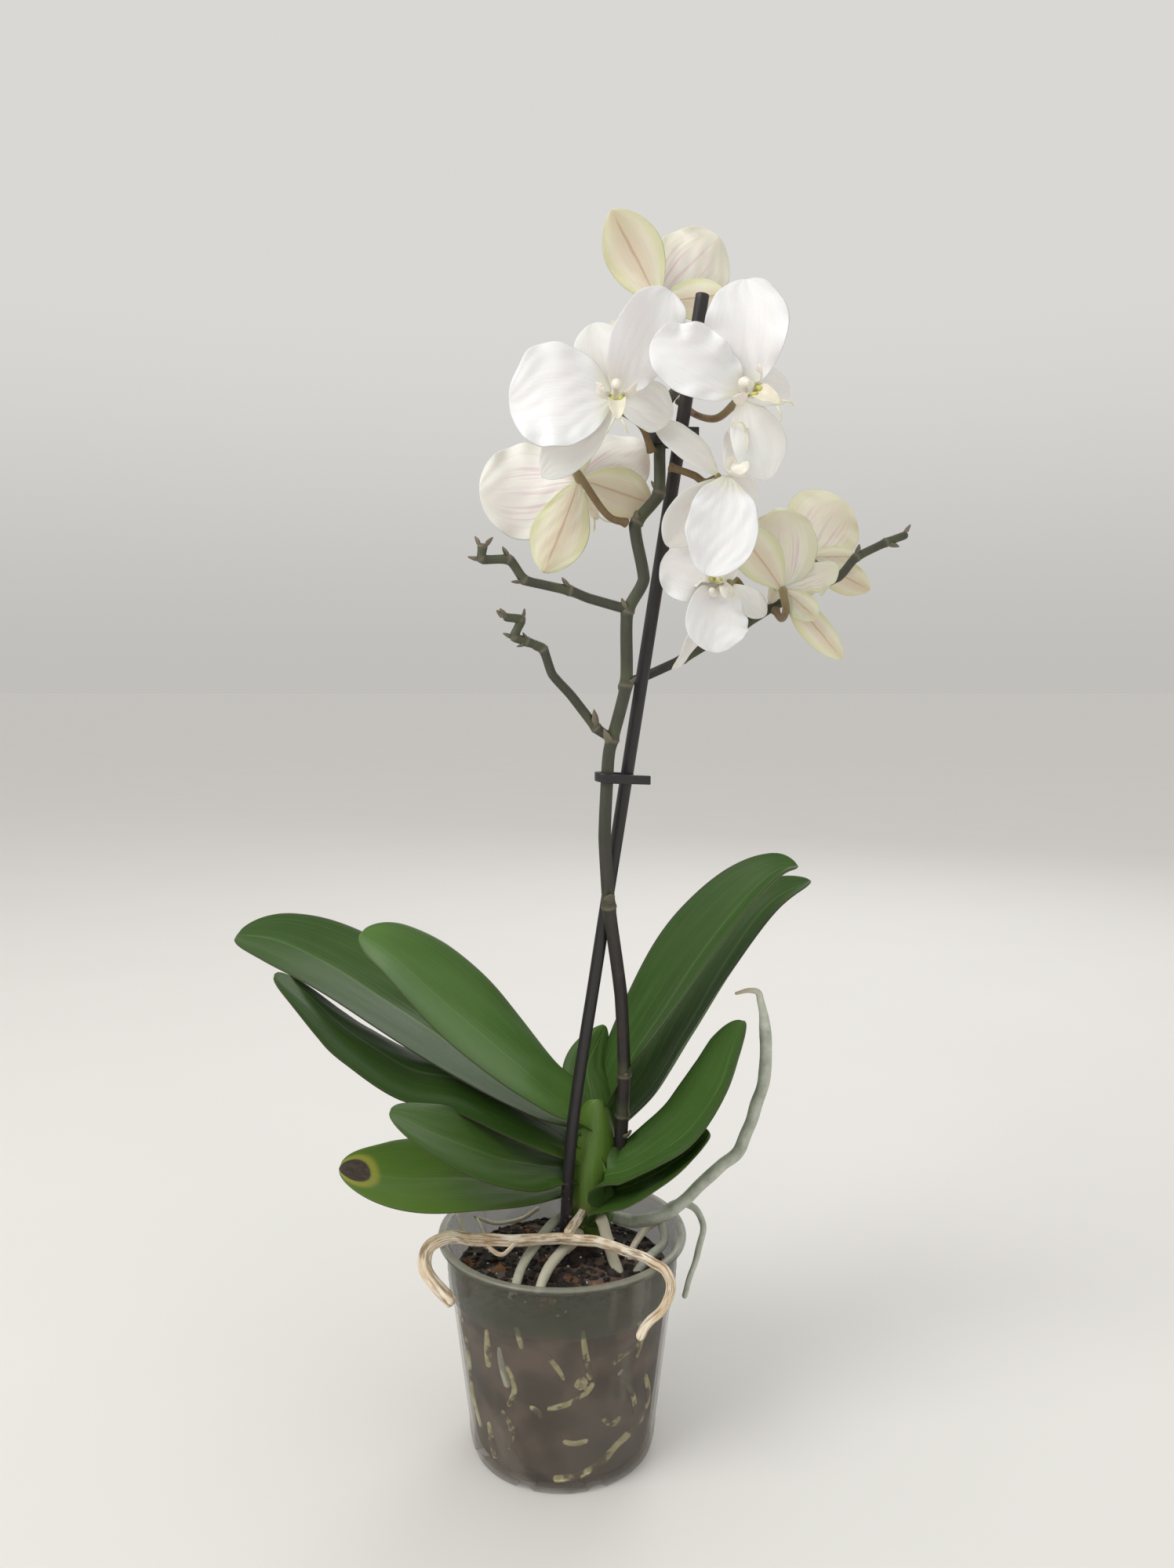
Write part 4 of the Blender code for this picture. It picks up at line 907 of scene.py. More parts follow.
def clip_piece(name, node, height, band, tab, tilt):
    """The strip round both stems, from its straight finger tab round the spike and back behind the stake."""
    spike_at = np.array([np.interp(height, [p[2] for p in SPIKE], [p[k] for p in SPIKE]) for k in (0, 1)])
    stake_at = np.array([np.interp(height, [p[2] for p in STAKE], [p[k] for p in STAKE]) for k in (0, 1)])
    along = (stake_at - spike_at) / np.linalg.norm(stake_at - spike_at)
    out = np.array([along[1], -along[0]])
    room = CLIP_ROOM
    bend = [stake_at + along * (room + tab) + out * room, stake_at + out * room, spike_at + out * room]
    for turn in np.linspace(0.0, math.pi, 9)[1:-1]:
        bend.append(spike_at + out * room * math.cos(turn) - along * room * math.sin(turn))
    bend += [spike_at - out * room, stake_at - out * room]
    for turn in np.linspace(0.0, math.pi / 2, 5)[1:]:
        bend.append(stake_at - out * room * math.cos(turn) + along * room * math.sin(turn))
    start = bend[0][0]
    route = [(x, y, LIP + height + tilt * (x - start)) for x, y in bend]
    path, _ = smooth_path(route, 0.0006)
    outward = unit(np.cross(unit(np.gradient(path, axis=0)), (0.0, 0.0, 1.0)))
    half_wall, half_band, corner = 0.00075, band / 2, 0.0005
    section = []
    for wide, tall, first in ((1, 1, 0.0), (-1, 1, 0.5), (-1, -1, 1.0), (1, -1, 1.5)):
        for step in range(4):
            turn = math.pi * (first + step / 6)
            section.append((wide * (half_wall - corner) + corner * math.cos(turn),
                            tall * (half_band - corner) + corner * math.sin(turn)))
    section = np.array(section + section[:1])
    rings = path[:, None] + outward[:, None] * section[None, :, :1] + np.array((0.0, 0.0, 1.0)) * section[None, :, 1:]
    rings = np.concatenate([np.broadcast_to(rings[:1].mean(axis=1, keepdims=True), rings[:1].shape), rings,
                            np.broadcast_to(rings[-1:].mean(axis=1, keepdims=True), rings[:1].shape)])
    skin = Skin()
    skin.grid(rings, 0.0, 0.0)
    skin.make(name, strip, node).data.set_sharp_from_angle(angle=math.radians(45))


clip_piece("lower_clip", "clip_lower", 0.2193, 0.0042, 0.006, -0.12)
clip_piece("upper_clip", "clip_upper", 0.3683, 0.0070, 0.001, 0.10)

# %% [markdown]
# ## Leaves
# The leaves are thick straps, folded along the midrib where they leave the crown and nearly flat beyond it,
# with a glossy upper side, faint long veins and a thin purple-brown edge. A leaf is a flattened skin: one
# loop goes over the top from edge to edge and back underneath, and each row of it sits on the midrib.

# %% Leaf finish
def leaf_skin():
    finish = Finish("leaf_skin")
    uv = finish.skin_uv()
    across = finish.split(uv, "X") * 2.0 - 1.0
    along = finish.split(uv, "Y")
    veins = finish.streaks((46.0, 1.4, 1.0), 3.0, 0.6, uv)
    cloud = finish.noise(20.0, 3.0, 0.5)
    fine = finish.noise(420.0, 2.0, 0.5)
    light = finish.tint(0)
    dark_green = finish.blend(cloud, (0.019, 0.050, 0.008), (0.042, 0.095, 0.016))
    lit_leaf_green = finish.blend(cloud, (0.080, 0.185, 0.036), (0.130, 0.250, 0.058))
    # Painted light and shade: the lightness share picks between a dark, shaded green and a lighter, lit green, by how
    # much light falls on each leaf.
    colour = finish.blend(light, dark_green, lit_leaf_green)
    colour = finish.blend(veins.step(0.48, 0.75) * 0.22, colour, (0.15, 0.28, 0.08))
    colour = finish.blend(abs(across).step(0.55, 1.0) * 0.35, colour, (0.022, 0.055, 0.010))
    midrib = (abs(across)).step(0.060, 0.010)
    colour = finish.blend(midrib * 0.30, colour, (0.15, 0.27, 0.08))
    under = finish.tint(3)
    colour = finish.blend(under * 0.35, colour, (0.060, 0.125, 0.030))
    colour = finish.blend(finish.tint(1), colour, (0.17, 0.29, 0.040))
    edge = abs(across).step(0.965, 0.995)
    colour = finish.blend(edge * 0.75, colour, (0.075, 0.035, 0.035))
    burn = finish.tint(2) + cloud * 0.25 - 0.12
    colour = finish.blend(burn.step(0.18, 0.42) * 0.85, colour, (0.36, 0.36, 0.06))
    spot_tone = finish.blend(fine, (0.030, 0.022, 0.018), (0.12, 0.095, 0.080))
    colour = finish.blend(burn.step(0.50, 0.60), colour, spot_tone)
    rough = 0.35 + cloud * 0.16 + burn.step(0.50, 0.60) * 0.3 + under * 0.25
    height = veins * 0.8 + fine * 0.12 - midrib * 0.5
    return finish.surface(colour, rough, height, 0.0005, 0.45, Specular_IOR_Level=0.24)


leaf_green = leaf_skin()

# %% A blade: a closed skin on a midrib
WRAP_REACH, BLADE_STEP, EDGE_WAVER = 0.022, 0.0005, 0.045


def outline(share, widest, roundness, foot):
    """Half width, as a share of the greatest, from foot to tip."""
    power = math.log(0.5) / math.log(widest)
    swell = np.maximum(0.0, np.sin(math.pi * np.clip(share, 0.0, 1.0) ** power)) ** roundness
    return np.maximum(swell, foot * (1.0 - share))


def blade(skin, points, across, face, half_width, cup, widest=0.6, roundness=0.55, foot=0.45, rows=60,
          columns=28, thickness=0.0022, fold=0.0, ruffle=0.0, waves=2.5, curl=0.0, seed=1,
          tint=(0.0, 0.0, 0.0, 0.0), crumple=0.0, clasp=0.0, wrap=None):
    """A leaf, petal or sepal. Its upper side looks towards face. Cup lifts the edges, fold makes a V at the
    midrib, ruffle waves the edges, curl turns them back, clasp lifts them at the foot, and wrap, a vector,
    carries them round the stem there. Tint is four shares, or a function of place and side that gives them."""
    path, reach = smooth_path(points, BLADE_STEP)
    even = np.linspace(0.0, 1.0, rows + 1)
    share = np.sin(even * math.pi / 2) * 0.55 + even * 0.45
    share = share / share[-1]
    mid = np.column_stack([np.interp(share * reach[-1], reach, path[:, k]) for k in range(3)])
    along = unit(np.gradient(path, axis=0))
    along = unit(np.column_stack([np.interp(share * reach[-1], reach, along[:, k]) for k in range(3)]))
    side = np.array(across[0])[None, :] * (1 - share[:, None]) + np.array(across[1])[None, :] * share[:, None]
    side = unit(side - along * np.sum(side * along, axis=1, keepdims=True))
    normal = np.cross(side, along)
    normal = np.where(np.sum(normal * np.array(face), axis=1, keepdims=True) > 0, normal, -normal)
    shape = outline(share, widest, roundness, foot)
    slow, quick, edge_l, edge_r = (wander(seed + k, 5, *span) for k, span in
                                   enumerate(((0.4, 1.6), (1.5, 5.0), (waves * 0.6, waves * 1.5),
                                              (waves * 0.6, waves * 1.5))))
    even = np.linspace(-1.0, 1.0, columns + 1)
    over = np.sin(even * math.pi / 2) * 0.35 + even * 0.65
    s, t = share[:, None], over[None, :]
    left_edge = 1.0 + EDGE_WAVER * edge_l(s * 0.7)
    right_edge = 1.0 + EDGE_WAVER * edge_r(s * 0.7)
    width = half_width * shape[:, None] * np.where(t < 0, left_edge, right_edge)
    close = np.minimum(1.0, shape[:, None] * 1.3)
    lift = cup * t * t * shape[:, None] + fold * np.sqrt(t * t + 0.01) * shape[:, None]
    wave = np.where(t < 0, edge_l(s), edge_r(s))
    lift = lift + ruffle * np.abs(t) ** 2.5 * wave * close
    lift = lift - curl * np.abs(t) ** 5 * shape[:, None]
    lift = lift + clasp * t * t * np.exp(-((s / 0.16) ** 2))
    lift = lift + crumple * (slow(s, t * 0.5) * 0.7 + quick(s, t * 0.6) * 0.3) * close
    middle = mid[:, None] + side[:, None] * (width * t)[..., None] + normal[:, None] * lift[..., None]
    if wrap is not None:
        round_stem = t * t * np.exp(-((s * reach[-1] / WRAP_REACH) ** 2))
        middle = middle + round_stem[..., None] * np.array(wrap)
    body = thickness / 2 * np.sqrt(np.maximum(0.0, 1.0 - np.abs(t) ** 6)) * (0.55 + 0.45 * (1 - t * t))
    ends = np.sqrt(np.maximum(0.0, 1.0 - np.abs(2 * s - 1) ** 24))
    body = body * ends
    slope_s = np.gradient(middle, axis=0)
    slope_t = np.gradient(middle, axis=1)
    out = unit(np.cross(slope_t, slope_s))
    out = np.where(np.sum(out * normal[:, None], axis=-1, keepdims=True) > 0, out, -out)
    front = middle + out * body[..., None]
    back = middle - out * body[..., None]
    loop = np.concatenate([front, back[:, ::-1]], axis=1)
    u = np.concatenate([(over + 1) / 2, ((over + 1) / 2)[::-1]])[None, :]
    if callable(tint):
        side_flag = np.concatenate([np.zeros(columns + 1), np.ones(columns + 1)])[None, :]
        place_t = np.concatenate([over, over[::-1]])[None, :]
        tint = tint(*(np.broadcast_to(value, loop.shape[:2]) for value in (s, place_t, side_flag)))
    skin.grid(loop, u, s, tint)


# %% Leaf midribs, from the level of the lip
LEAVES = {
    "leaf_left_1": (
        [(0.004, 0.024, 0.0425), (-0.015, 0.028, 0.0535), (-0.047, 0.038, 0.0730), (-0.089, 0.048, 0.0983),
         (-0.123, 0.055, 0.1178), (-0.149, 0.060, 0.1285), (-0.172, 0.062, 0.1323)],
        ((0, 1, 0.25), (0, 1, 0.42)), 0.029, 0.006),
    "leaf_left_2": (
        [(0.005, 0.018, 0.0503), (-0.008, 0.012, 0.0633), (-0.024, 0.002, 0.0813), (-0.043, -0.012, 0.1033),
         (-0.063, -0.024, 0.1263), (-0.078, -0.030, 0.1423), (-0.090, -0.032, 0.1513)],
        ((0, 1, 0.3), (0, 1, 0.65)), 0.029, 0.006),
    "leaf_left_3": (
        [(0.003, 0.0195, 0.0330), (-0.025, 0.0140, 0.0520), (-0.050, 0.0100, 0.0655), (-0.075, 0.0070, 0.0722),
         (-0.0986, 0.0080, 0.0860), (-0.1122, 0.0100, 0.0957), (-0.1275, 0.0105, 0.1095), (-0.141, 0.009, 0.1203)],
        ((0, 1, 0.20), (0, 1, 0.08)), 0.0195, -0.003),
    "leaf_left_4": (
        [(0.004, 0.018, 0.0193), (-0.014, 0.006, 0.0273), (-0.031, -0.012, 0.0378), (-0.055, -0.031, 0.0555),
         (-0.077, -0.039, 0.0703)],
        ((0, 1, 0.10), (0, 1, 0.20)), 0.020, 0.002),
    "leaf_left_5": (
        [(0.001, 0.025, 0.0103), (-0.022, 0.010, 0.0173), (-0.049, -0.006, 0.0263), (-0.079, -0.019, 0.0323),
         (-0.103, -0.023, 0.0393)],
        ((0, 1, 0.2), (0, 1, 0.3)), 0.025, 0.004),
    "leaf_right_1": (
        [(0.022, 0.028, 0.0443), (0.034, 0.026, 0.0723), (0.051, 0.019, 0.1013), (0.071, 0.014, 0.1343),
         (0.091, 0.012, 0.1603), (0.104, 0.012, 0.1723), (0.114, 0.012, 0.1753)],
        ((-0.1, 1, 0.2), (-0.35, 1, 0.35)), 0.025, 0.008),
    "leaf_right_2": (
        [(0.024, 0.031, 0.0333), (0.047, 0.040, 0.0563), (0.066, 0.044, 0.0873), (0.086, 0.048, 0.1203),
         (0.107, 0.050, 0.1483), (0.128, 0.052, 0.1613)],
        ((-0.1, 1, 0.2), (-0.3, 1, 0.3)), 0.024, 0.007),
    "leaf_right_3": (
        [(0.0220, 0.003, 0.0233), (0.031, -0.003, 0.0273), (0.045, -0.005, 0.0353), (0.062, -0.008, 0.0503),
         (0.075, -0.010, 0.0713), (0.082, -0.008, 0.0893), (0.087, -0.006, 0.1033)],
        ((0, 1, 0.10), (-0.3, 1, 0.1)), 0.020, 0.006),
    "leaf_right_4": (
        [(0.021, 0.011, 0.0103), (0.037, -0.001, 0.0213), (0.054, -0.009, 0.0353), (0.070, -0.014, 0.0523)],
        ((0, 1, 0.2), (0, 1, 0.3)), 0.020, 0.005),
    "leaf_centre": (
        [(0.014, 0.026, 0.0553), (0.012, 0.036, 0.0683), (0.021, 0.044, 0.0873)],
        ((1, 0.1, 0), (1, 0.3, 0)), 0.013, -0.003),
}

# %% The ten leaves
# Each leaf's lightness (painted light and shade, for how much light falls on the leaf), yellow, widest place,
# roundness, width at its foot, fold, share of the half width, the side that any extra width grows to (1 is away from
# the front), and clasp.
LEAF_LOOKS = {
    "leaf_left_1": (0.12, 0.0, 0.60, 0.48, 0.50, 0.004, 1.16, -1, 0.003),
    "leaf_left_2": (0.85, 0.0, 0.60, 0.48, 0.46, 0.003, 1.0, 0, 0.003),
    "leaf_left_3": (0.06, 0.0, 0.52, 0.42, 0.60, 0.002, 1.32, 1, 0.003),
    "leaf_left_4": (0.28, 0.15, 0.62, 0.46, 0.58, 0.003, 1.12, 1, 0.002),
    "leaf_left_5": (0.50, 0.60, 0.68, 0.48, 0.46, 0.002, 1.0, 0, 0.002),
    "leaf_right_1": (0.24, 0.0, 0.57, 0.55, 0.48, 0.006, 1.0, 0, 0.003),
    "leaf_right_2": (0.08, 0.0, 0.57, 0.58, 0.46, 0.006, 1.0, 0, 0.003),
    "leaf_right_3": (0.40, 0.0, 0.62, 0.48, 0.60, 0.004, 1.12, 1, 0.002),
    "leaf_right_4": (0.15, 0.1, 0.60, 0.50, 0.60, 0.003, 1.0, 0, 0.002),
    "leaf_centre": (0.30, 0.1, 0.50, 0.60, 0.80, 0.002, 1.0, 0, 0.004),
}
CROWN_X, CROWN_Y = 0.0145, 0.0205
LEAF_BLADE = dict(rows=96, columns=36, thickness=0.0024, ruffle=0.0012, waves=1.6, curl=0.0015, crumple=0.0008)
CLASP_ROUND = 0.0105


def leaf_tint(light, yellow, spotted):
    def tint(share, over, under):
        pale_foot = np.clip(1.0 - share / 0.26, 0.0, 1.0) ** 1.5 * 0.8
        burn = 0.0 * share
        if spotted:
            away = np.hypot((share - 0.985) / 0.105, (over + 0.05) / 0.75)
            burn = np.clip(1.35 - away, 0.0, 1.0)
        # Painted light and shade: the leaf's lightness goes into the first share.
        shade = light + 0.0 * share
        return np.stack([shade, np.clip(yellow * 0.6 + pale_foot, 0.0, 1.0), burn, under], axis=-1)

    return tint


for number, (name, (points, across, half_width, cup)) in enumerate(LEAVES.items()):
    light, yellow, widest, roundness, foot, fold, wider, grows, clasp = LEAF_LOOKS[name]
    shift = grows * (wider - 1.0) * half_width * unit(np.array(across[0], float))
    points = [tuple(np.array(point) + shift * min(1.0, k / 2)) for k, point in enumerate(points)]
    skin = Skin()
    hand = -1 if points[0][0] < CROWN_X else 1
    low = points[0][2]
    inside = [(CROWN_X + hand * 0.0070, CROWN_Y, low - 0.024), (CROWN_X + hand * 0.0088, CROWN_Y, low - 0.011)]
    if name == "leaf_centre":
        inside, hand = [(0.0165, 0.0150, low - 0.030), (0.0170, 0.0160, low - 0.014)], 0
    blade(skin, raised(inside + points), across, (0.0, 0.0, 1.0), half_width * wider, cup, widest, roundness, foot,
          fold=fold, clasp=clasp, wrap=(-hand * CLASP_ROUND, 0.0, 0.0), seed=100 + 10 * number,
          tint=leaf_tint(light, yellow, name == "leaf_left_5"), **LEAF_BLADE)
    skin.make(name, leaf_green, name)

# %% [markdown]
# ## Crown
# The crown is the short stem that all the leaves grow from. Hardly any of it shows, because each leaf's base
# clasps it like a folded collar. A pale core is built first, and then the one smooth sheath at its front.

# %% Crown
CROWN = [(0.0145, 0.019, -0.0257, 6.5), (0.0145, 0.019, -0.0097, 8.5), (0.0145, 0.019, 0.0083, 8.0),
         (0.0145, 0.020, 0.0283, 7.0), (0.0145, 0.021, 0.0443, 5.5), (0.0145, 0.022, 0.0513, 4.0)]


def crown_green():
    finish = Finish("crown_green")
    streak = finish.streaks((420.0, 420.0, 30.0), 4.0, 0.6)
    cloud = finish.noise(60.0, 3.0, 0.5)
    colour = finish.blend(streak, (0.080, 0.165, 0.022), (0.15, 0.255, 0.040))
    low = finish.split(finish.place, "Z").step(LIP + 0.018, LIP - 0.008)
    colour = finish.blend(low * cloud.step(0.35, 0.6), colour, (0.20, 0.15, 0.08))
    crumbs = finish.noise(380.0, 3.0, 0.6).step(0.62, 0.70) * low
    colour = finish.blend(crumbs, colour, (0.66, 0.62, 0.53))
    return finish.surface(colour, 0.36 + cloud * 0.2, streak + crumbs, 0.0006, 0.6)


skin = Skin()
crown_path, _ = smooth_path(raised(CROWN), 0.0008)
sweep(skin, crown_path[:, :3], crown_path[:, 3] * MM * 0.93, 32,
      lambda along, turn: 0.06 * np.sin(turn * 2 + 0.6) + 0.03 * np.sin(turn * 7 + along * 160), ends=(0.4, 0.8))
SHEATH = [(0.0145, 0.0090, -0.012), (0.0142, 0.0045, 0.004), (0.0146, 0.0030, 0.022), (0.0156, 0.0050, 0.040),
          (0.0172, 0.0110, 0.060)]
SHEATH_ACROSS = (1, 0.1, 0)
blade(skin, raised(SHEATH), (SHEATH_ACROSS, SHEATH_ACROSS), (0.0, -1.0, 0.1), 0.0118, -0.010, 0.55, 0.35, 0.8,
      rows=40, columns=26, thickness=0.0016, ruffle=0.0004, waves=1.5, seed=700)
skin.make("crown_and_sheaths", crown_green(), "crown")

# %% [markdown]
# ## The flower spike and its branches
# The spike is a woody green stalk, almost black with age low down. It has a ring at every node, where a small
# dry bract once wrapped it, and it bends a little at each. Where flowers have dropped, the branches end in
# zigzags with a pointed bract at each turn. Stem and bracts are one piece, as they grew.

# %% Stem finish
def stem_green():
    finish = Finish("stem_green")
    streak = finish.streaks((600.0, 600.0, 45.0), 4.0, 0.6)
    blotch = finish.noise(70.0, 4.0, 0.6)
    age = finish.tint(0)
    green = finish.blend(streak, (0.034, 0.037, 0.024), (0.072, 0.075, 0.050))
    old = finish.blend(streak, (0.017, 0.012, 0.013), (0.048, 0.037, 0.036))
    colour = finish.blend(age, green, old)
    colour = finish.blend(blotch.step(0.55, 0.75) * 0.4, colour, (0.085, 0.065, 0.045))
    colour = finish.blend(finish.tint(1) * 0.75, colour, (0.24, 0.20, 0.14))
    colour = finish.blend(finish.tint(2) * 0.7, colour, (0.09, 0.11, 0.045))
    return finish.surface(colour, 0.42 + blotch * 0.25, streak + blotch * 0.5, 0.0004, 0.5)


stem_finish = stem_green()


def near(places, spots, reach):
    """1 at each spot along a stem, falling to 0 a reach away."""
    total = 0.0 * places
    for spot in spots:
        total = np.maximum(total, np.clip(1.0 - np.abs(places - spot) / reach, 0.0, 1.0))
    return total


def bract(skin, point, up, out, size, seed, dry=0.8, spread=0.55):
    """A small pointed bract: its foot hugs the stem, and its tip leans out."""
    point, up, out = np.array(point), unit(np.array(up, float)), np.array(out, float)
    out = unit(out - up * (out @ up))
    across = np.cross(up, out)
    tip = point + up * size + out * size * spread
    middle = point + up * size * 0.45 + out * size * spread * 0.62
    blade(skin, [point, middle, tip], (across, across), out, size * 0.42, -size * 0.30, 0.40, 0.8, 0.85,
          rows=14, columns=10, thickness=0.0007, ruffle=0.0002, waves=2.0, seed=seed, tint=(0.0, dry, 0.0, 1.0))


def nearest(path, spot):
    """The row of a path that is nearest to a point given from the lip's level."""
    return int(np.argmin(np.linalg.norm(path - np.array(raised([spot])[0]), axis=1)))


def stem_piece(name, points, first, last, nodes, bracts, age, node):
    """A stem with a swollen ring at each node height or reach, and its bracts."""
    path, places = smooth_path(raised(points), 0.0008, 0.55)
    shares = places / places[-1]
    radius = (first + (last - first) * shares) * MM
    spots = [places[nearest(path, spot)] for spot in nodes]
    swell = wander(len(name) * 7, 6, 8.0, 40.0)

    def shape(along, turn):
        ring = near(along, spots, 0.0045) ** 2 * 0.16 + near(along, spots, 0.0012) * 0.07
        return ring + 0.025 * np.sin(turn * 5 + along * 30) + 0.03 * swell(along, np.cos(turn) * 0.02)

    def tint(along, turn):
        height = np.interp(along, places, path[:, 2])
        old = np.clip(age(height), 0.0, 1.0)
        scar = near(along, spots, 0.0011) * 0.75
        fresh = near(along - 0.004, spots, 0.006) * 0.7
        return np.stack([old, scar, fresh * (1 - scar), 1.0 + 0.0 * along], axis=-1)

    skin = Skin()
    sweep(skin, path, radius, 24, shape, tint, (0.4, 0.9))
    for number, (spot, out, size, dry) in enumerate(bracts):
        index = nearest(path, spot)
        up = unit(path[min(index + 3, len(path) - 1)] - path[max(index - 3, 0)])
        away = np.array(out, float)
        away = unit(away - up * (away @ up))
        foot = path[index] + away * radius[index] * 0.72
        bract(skin, foot, up, away, size * MM, 900 + number, dry)
    skin.make(name, stem_finish, node)


# %% The spike
SPIKE_NODES = [(0.029, 0.010, 0.052), (0.030, 0.006, 0.0745), (0.022, -0.0215, 0.1623), (0.0225, -0.0315, 0.2393),
               (0.029, -0.037, 0.2635), (0.029, -0.044, 0.2945), (0.032, -0.049, 0.3310), (0.042, -0.048, 0.3423)]
SPIKE_BRACTS = [((0.0285, 0.0140, 0.0400), (0.9, -0.6, 0), 6.0, 0.9), ((0.030, 0.006, 0.0745), (0.3, -1, 0), 3.0, 0.8),
                ((0.022, -0.0215, 0.1640), (0.2, -1, 0), 6.5, 0.5),
                ((0.022, -0.0315, 0.2365), (-0.8, -0.6, 0), 7.0, 0.9),
                ((0.029, -0.037, 0.2635), (0.9, -0.5, 0), 4.0, 0.6),
                ((0.029, -0.044, 0.2945), (-0.9, -0.5, 0), 5.0, 0.8),
                ((0.032, -0.049, 0.3310), (-0.6, -0.8, 0), 4.0, 0.7),
                ((0.042, -0.048, 0.3440), (-1.0, 0.0, 0), 3.5, 0.7),]
stem_piece("spike", SPIKE, 3.3, 2.2, SPIKE_NODES, SPIKE_BRACTS,
           lambda height: 0.95 - (height - LIP - 0.13) / 0.12, "flower_spike")

# %% The branches
BRANCH_LOOKS = {
    "branch_left_lower": (2.2, 1.8, [1, 4, 5, 6, 7], [(1, (0.6, -0.5, 1), 7.0, 0.9), (4, (-1, 0, -0.6), 3.2, 0.5),
                                                      (5, (-0.2, -0.2, -1), 3.6, 0.6), (5, (0.6, 0, 1), 3.0, 0.6),
                                                      (6, (-1, 0, -0.4), 4.0, 0.7), (7, (1, -0.2, 0.3), 4.0, 0.7),
                                                      (8, (-1, 0, 0.4), 4.2, 0.9), (8, (0.6, 0, 1), 3.6, 0.8)]),
    "branch_left_upper": (2.2, 1.8, [2, 4, 5, 6, 7], [(2, (0.1, -0.2, 1), 5.0, 0.7), (4, (-0.3, 0, -1), 4.2, 0.6),
                                                      (5, (-0.4, 0, 1), 4.6, 0.7), (6, (-1, 0, 0.1), 4.6, 0.8),
                                                      (7, (0.9, 0, 0.7), 4.6, 0.9), (7, (-0.7, -0.2, 0.6), 4.0, 0.9)]),
    "branch_right": (2.2, 1.8, [4, 6, 8, 10, 11], [(8, (-0.2, -0.4, 1), 4.0, 0.6), (10, (-0.3, 0, 1), 4.6, 0.6),
                                                   (11, (0.4, 0, -1), 5.0, 0.7), (12, (0.8, 0, 0.5), 4.2, 0.9),
                                                   (12, (0.3, -0.2, 1), 3.4, 0.9)]),
}


BRANCH_DEPTH = 2.2 * MM


def branch_route(name):
    """A branch's points, from just under the spike's skin."""
    height, points = BRANCHES[name]
    levels = [p[2] for p in SPIKE]
    middle = np.array([np.interp(height, levels, [p[k] for p in SPIKE]) for k in range(3)])
    away = unit(np.array([points[0][0] - middle[0], points[0][1] - middle[1], 0.0]))
    return [tuple(middle + away * BRANCH_DEPTH)] + points


for name, (first, last, nodes, bracts) in BRANCH_LOOKS.items():
    route = branch_route(name)
    spots = [route[index] for index in nodes]
    leaflets = [(route[index], out, size, dry) for index, out, size, dry in bracts]
    aged = (lambda height: 0.15 + 0.0 * height) if name != "branch_right" else \
        (lambda height: 0.9 - (height - LIP - 0.262) / 0.045)
    stem_piece(name, route, first, last, spots, leaflets, aged, name)

# %% [markdown]
# ## Flowers
# A moth orchid flower has three sepals behind, two broad petals before them, and in the middle a waxy column
# over a small lip with two side lobes, a yellow callus and two curled threads. The fronts are white; the
# backs are cream and green, with a brown-red line down each sepal and lilac veins on the petals. Sepals,
# petals, lip and stalk are built apart, as each grows from its own ring of the bud.

# %% Petal finish
def petal_skin():
    finish = Finish("petal_skin")
    uv = finish.skin_uv()
    across = finish.split(uv, "X") * 2.0 - 1.0
    along = finish.split(uv, "Y")
    soft = finish.noise(55.0, 3.0, 0.5)
    bend = finish.streaks((3.0, 4.0, 1.0), 2.0, 0.5, uv)
    lines = finish.streaks((26.0, 0.9, 1.0), 2.0, 0.5, uv, distortion=0.4)
    fine = finish.streaks((70.0, 2.4, 1.0), 2.0, 0.6, uv)
    sparkle = finish.noise(1500.0, 2.0, 0.5)
    cream, streaks, midline = finish.tint(0), finish.tint(1), finish.tint(2)
    under = finish.tint(3)
    white = finish.blend(soft, (0.86, 0.845, 0.86), (0.93, 0.92, 0.93))
    white = finish.blend(fine.step(0.50, 0.75) * 0.18, white, (0.76, 0.74, 0.79))
    base = along.step(0.22, 0.02)
    white = finish.blend(base * 0.5, white, (0.78, 0.80, 0.55))
    back = finish.blend(soft, (0.72, 0.70, 0.50), (0.82, 0.80, 0.66))
    rim = abs(across).at_least(along * 1.04 - 0.10)
    back = finish.blend(rim.step(0.45, 1.0) * 0.85, back, (0.58, 0.61, 0.30))
    colour = finish.blend(cream, white, back)
    vein = lines.step(0.50, 0.62) * along.step(0.97, 0.45) * (1.0 - abs(across)).step(0.02, 0.5)
    colour = finish.blend(vein * streaks * 0.8, colour, (0.62, 0.45, 0.54))
    colour = finish.blend(bend.step(0.45, 0.7) * streaks * 0.30, colour, (0.80, 0.64, 0.72))
    line = (abs(across + (bend - 0.5) * 0.12)).step(0.075, 0.015) * along.step(0.99, 0.80)
    wash = (abs(across)).step(0.75, 0.10) * 0.38
    colour = finish.blend((line * 0.55 + wash).at_most(1.0) * midline, colour, (0.47, 0.33, 0.20))
    rough = 0.46 + soft * 0.12
    height = lines * 0.5 + fine * 0.35 + sparkle * 0.08 - line * under * 0.4
    return finish.surface(colour, rough, height, 0.0005, 0.45, Subsurface_Weight=0.18, Subsurface_Scale=0.004,
                          Sheen_Weight=0.08)


petal_finish = petal_skin()


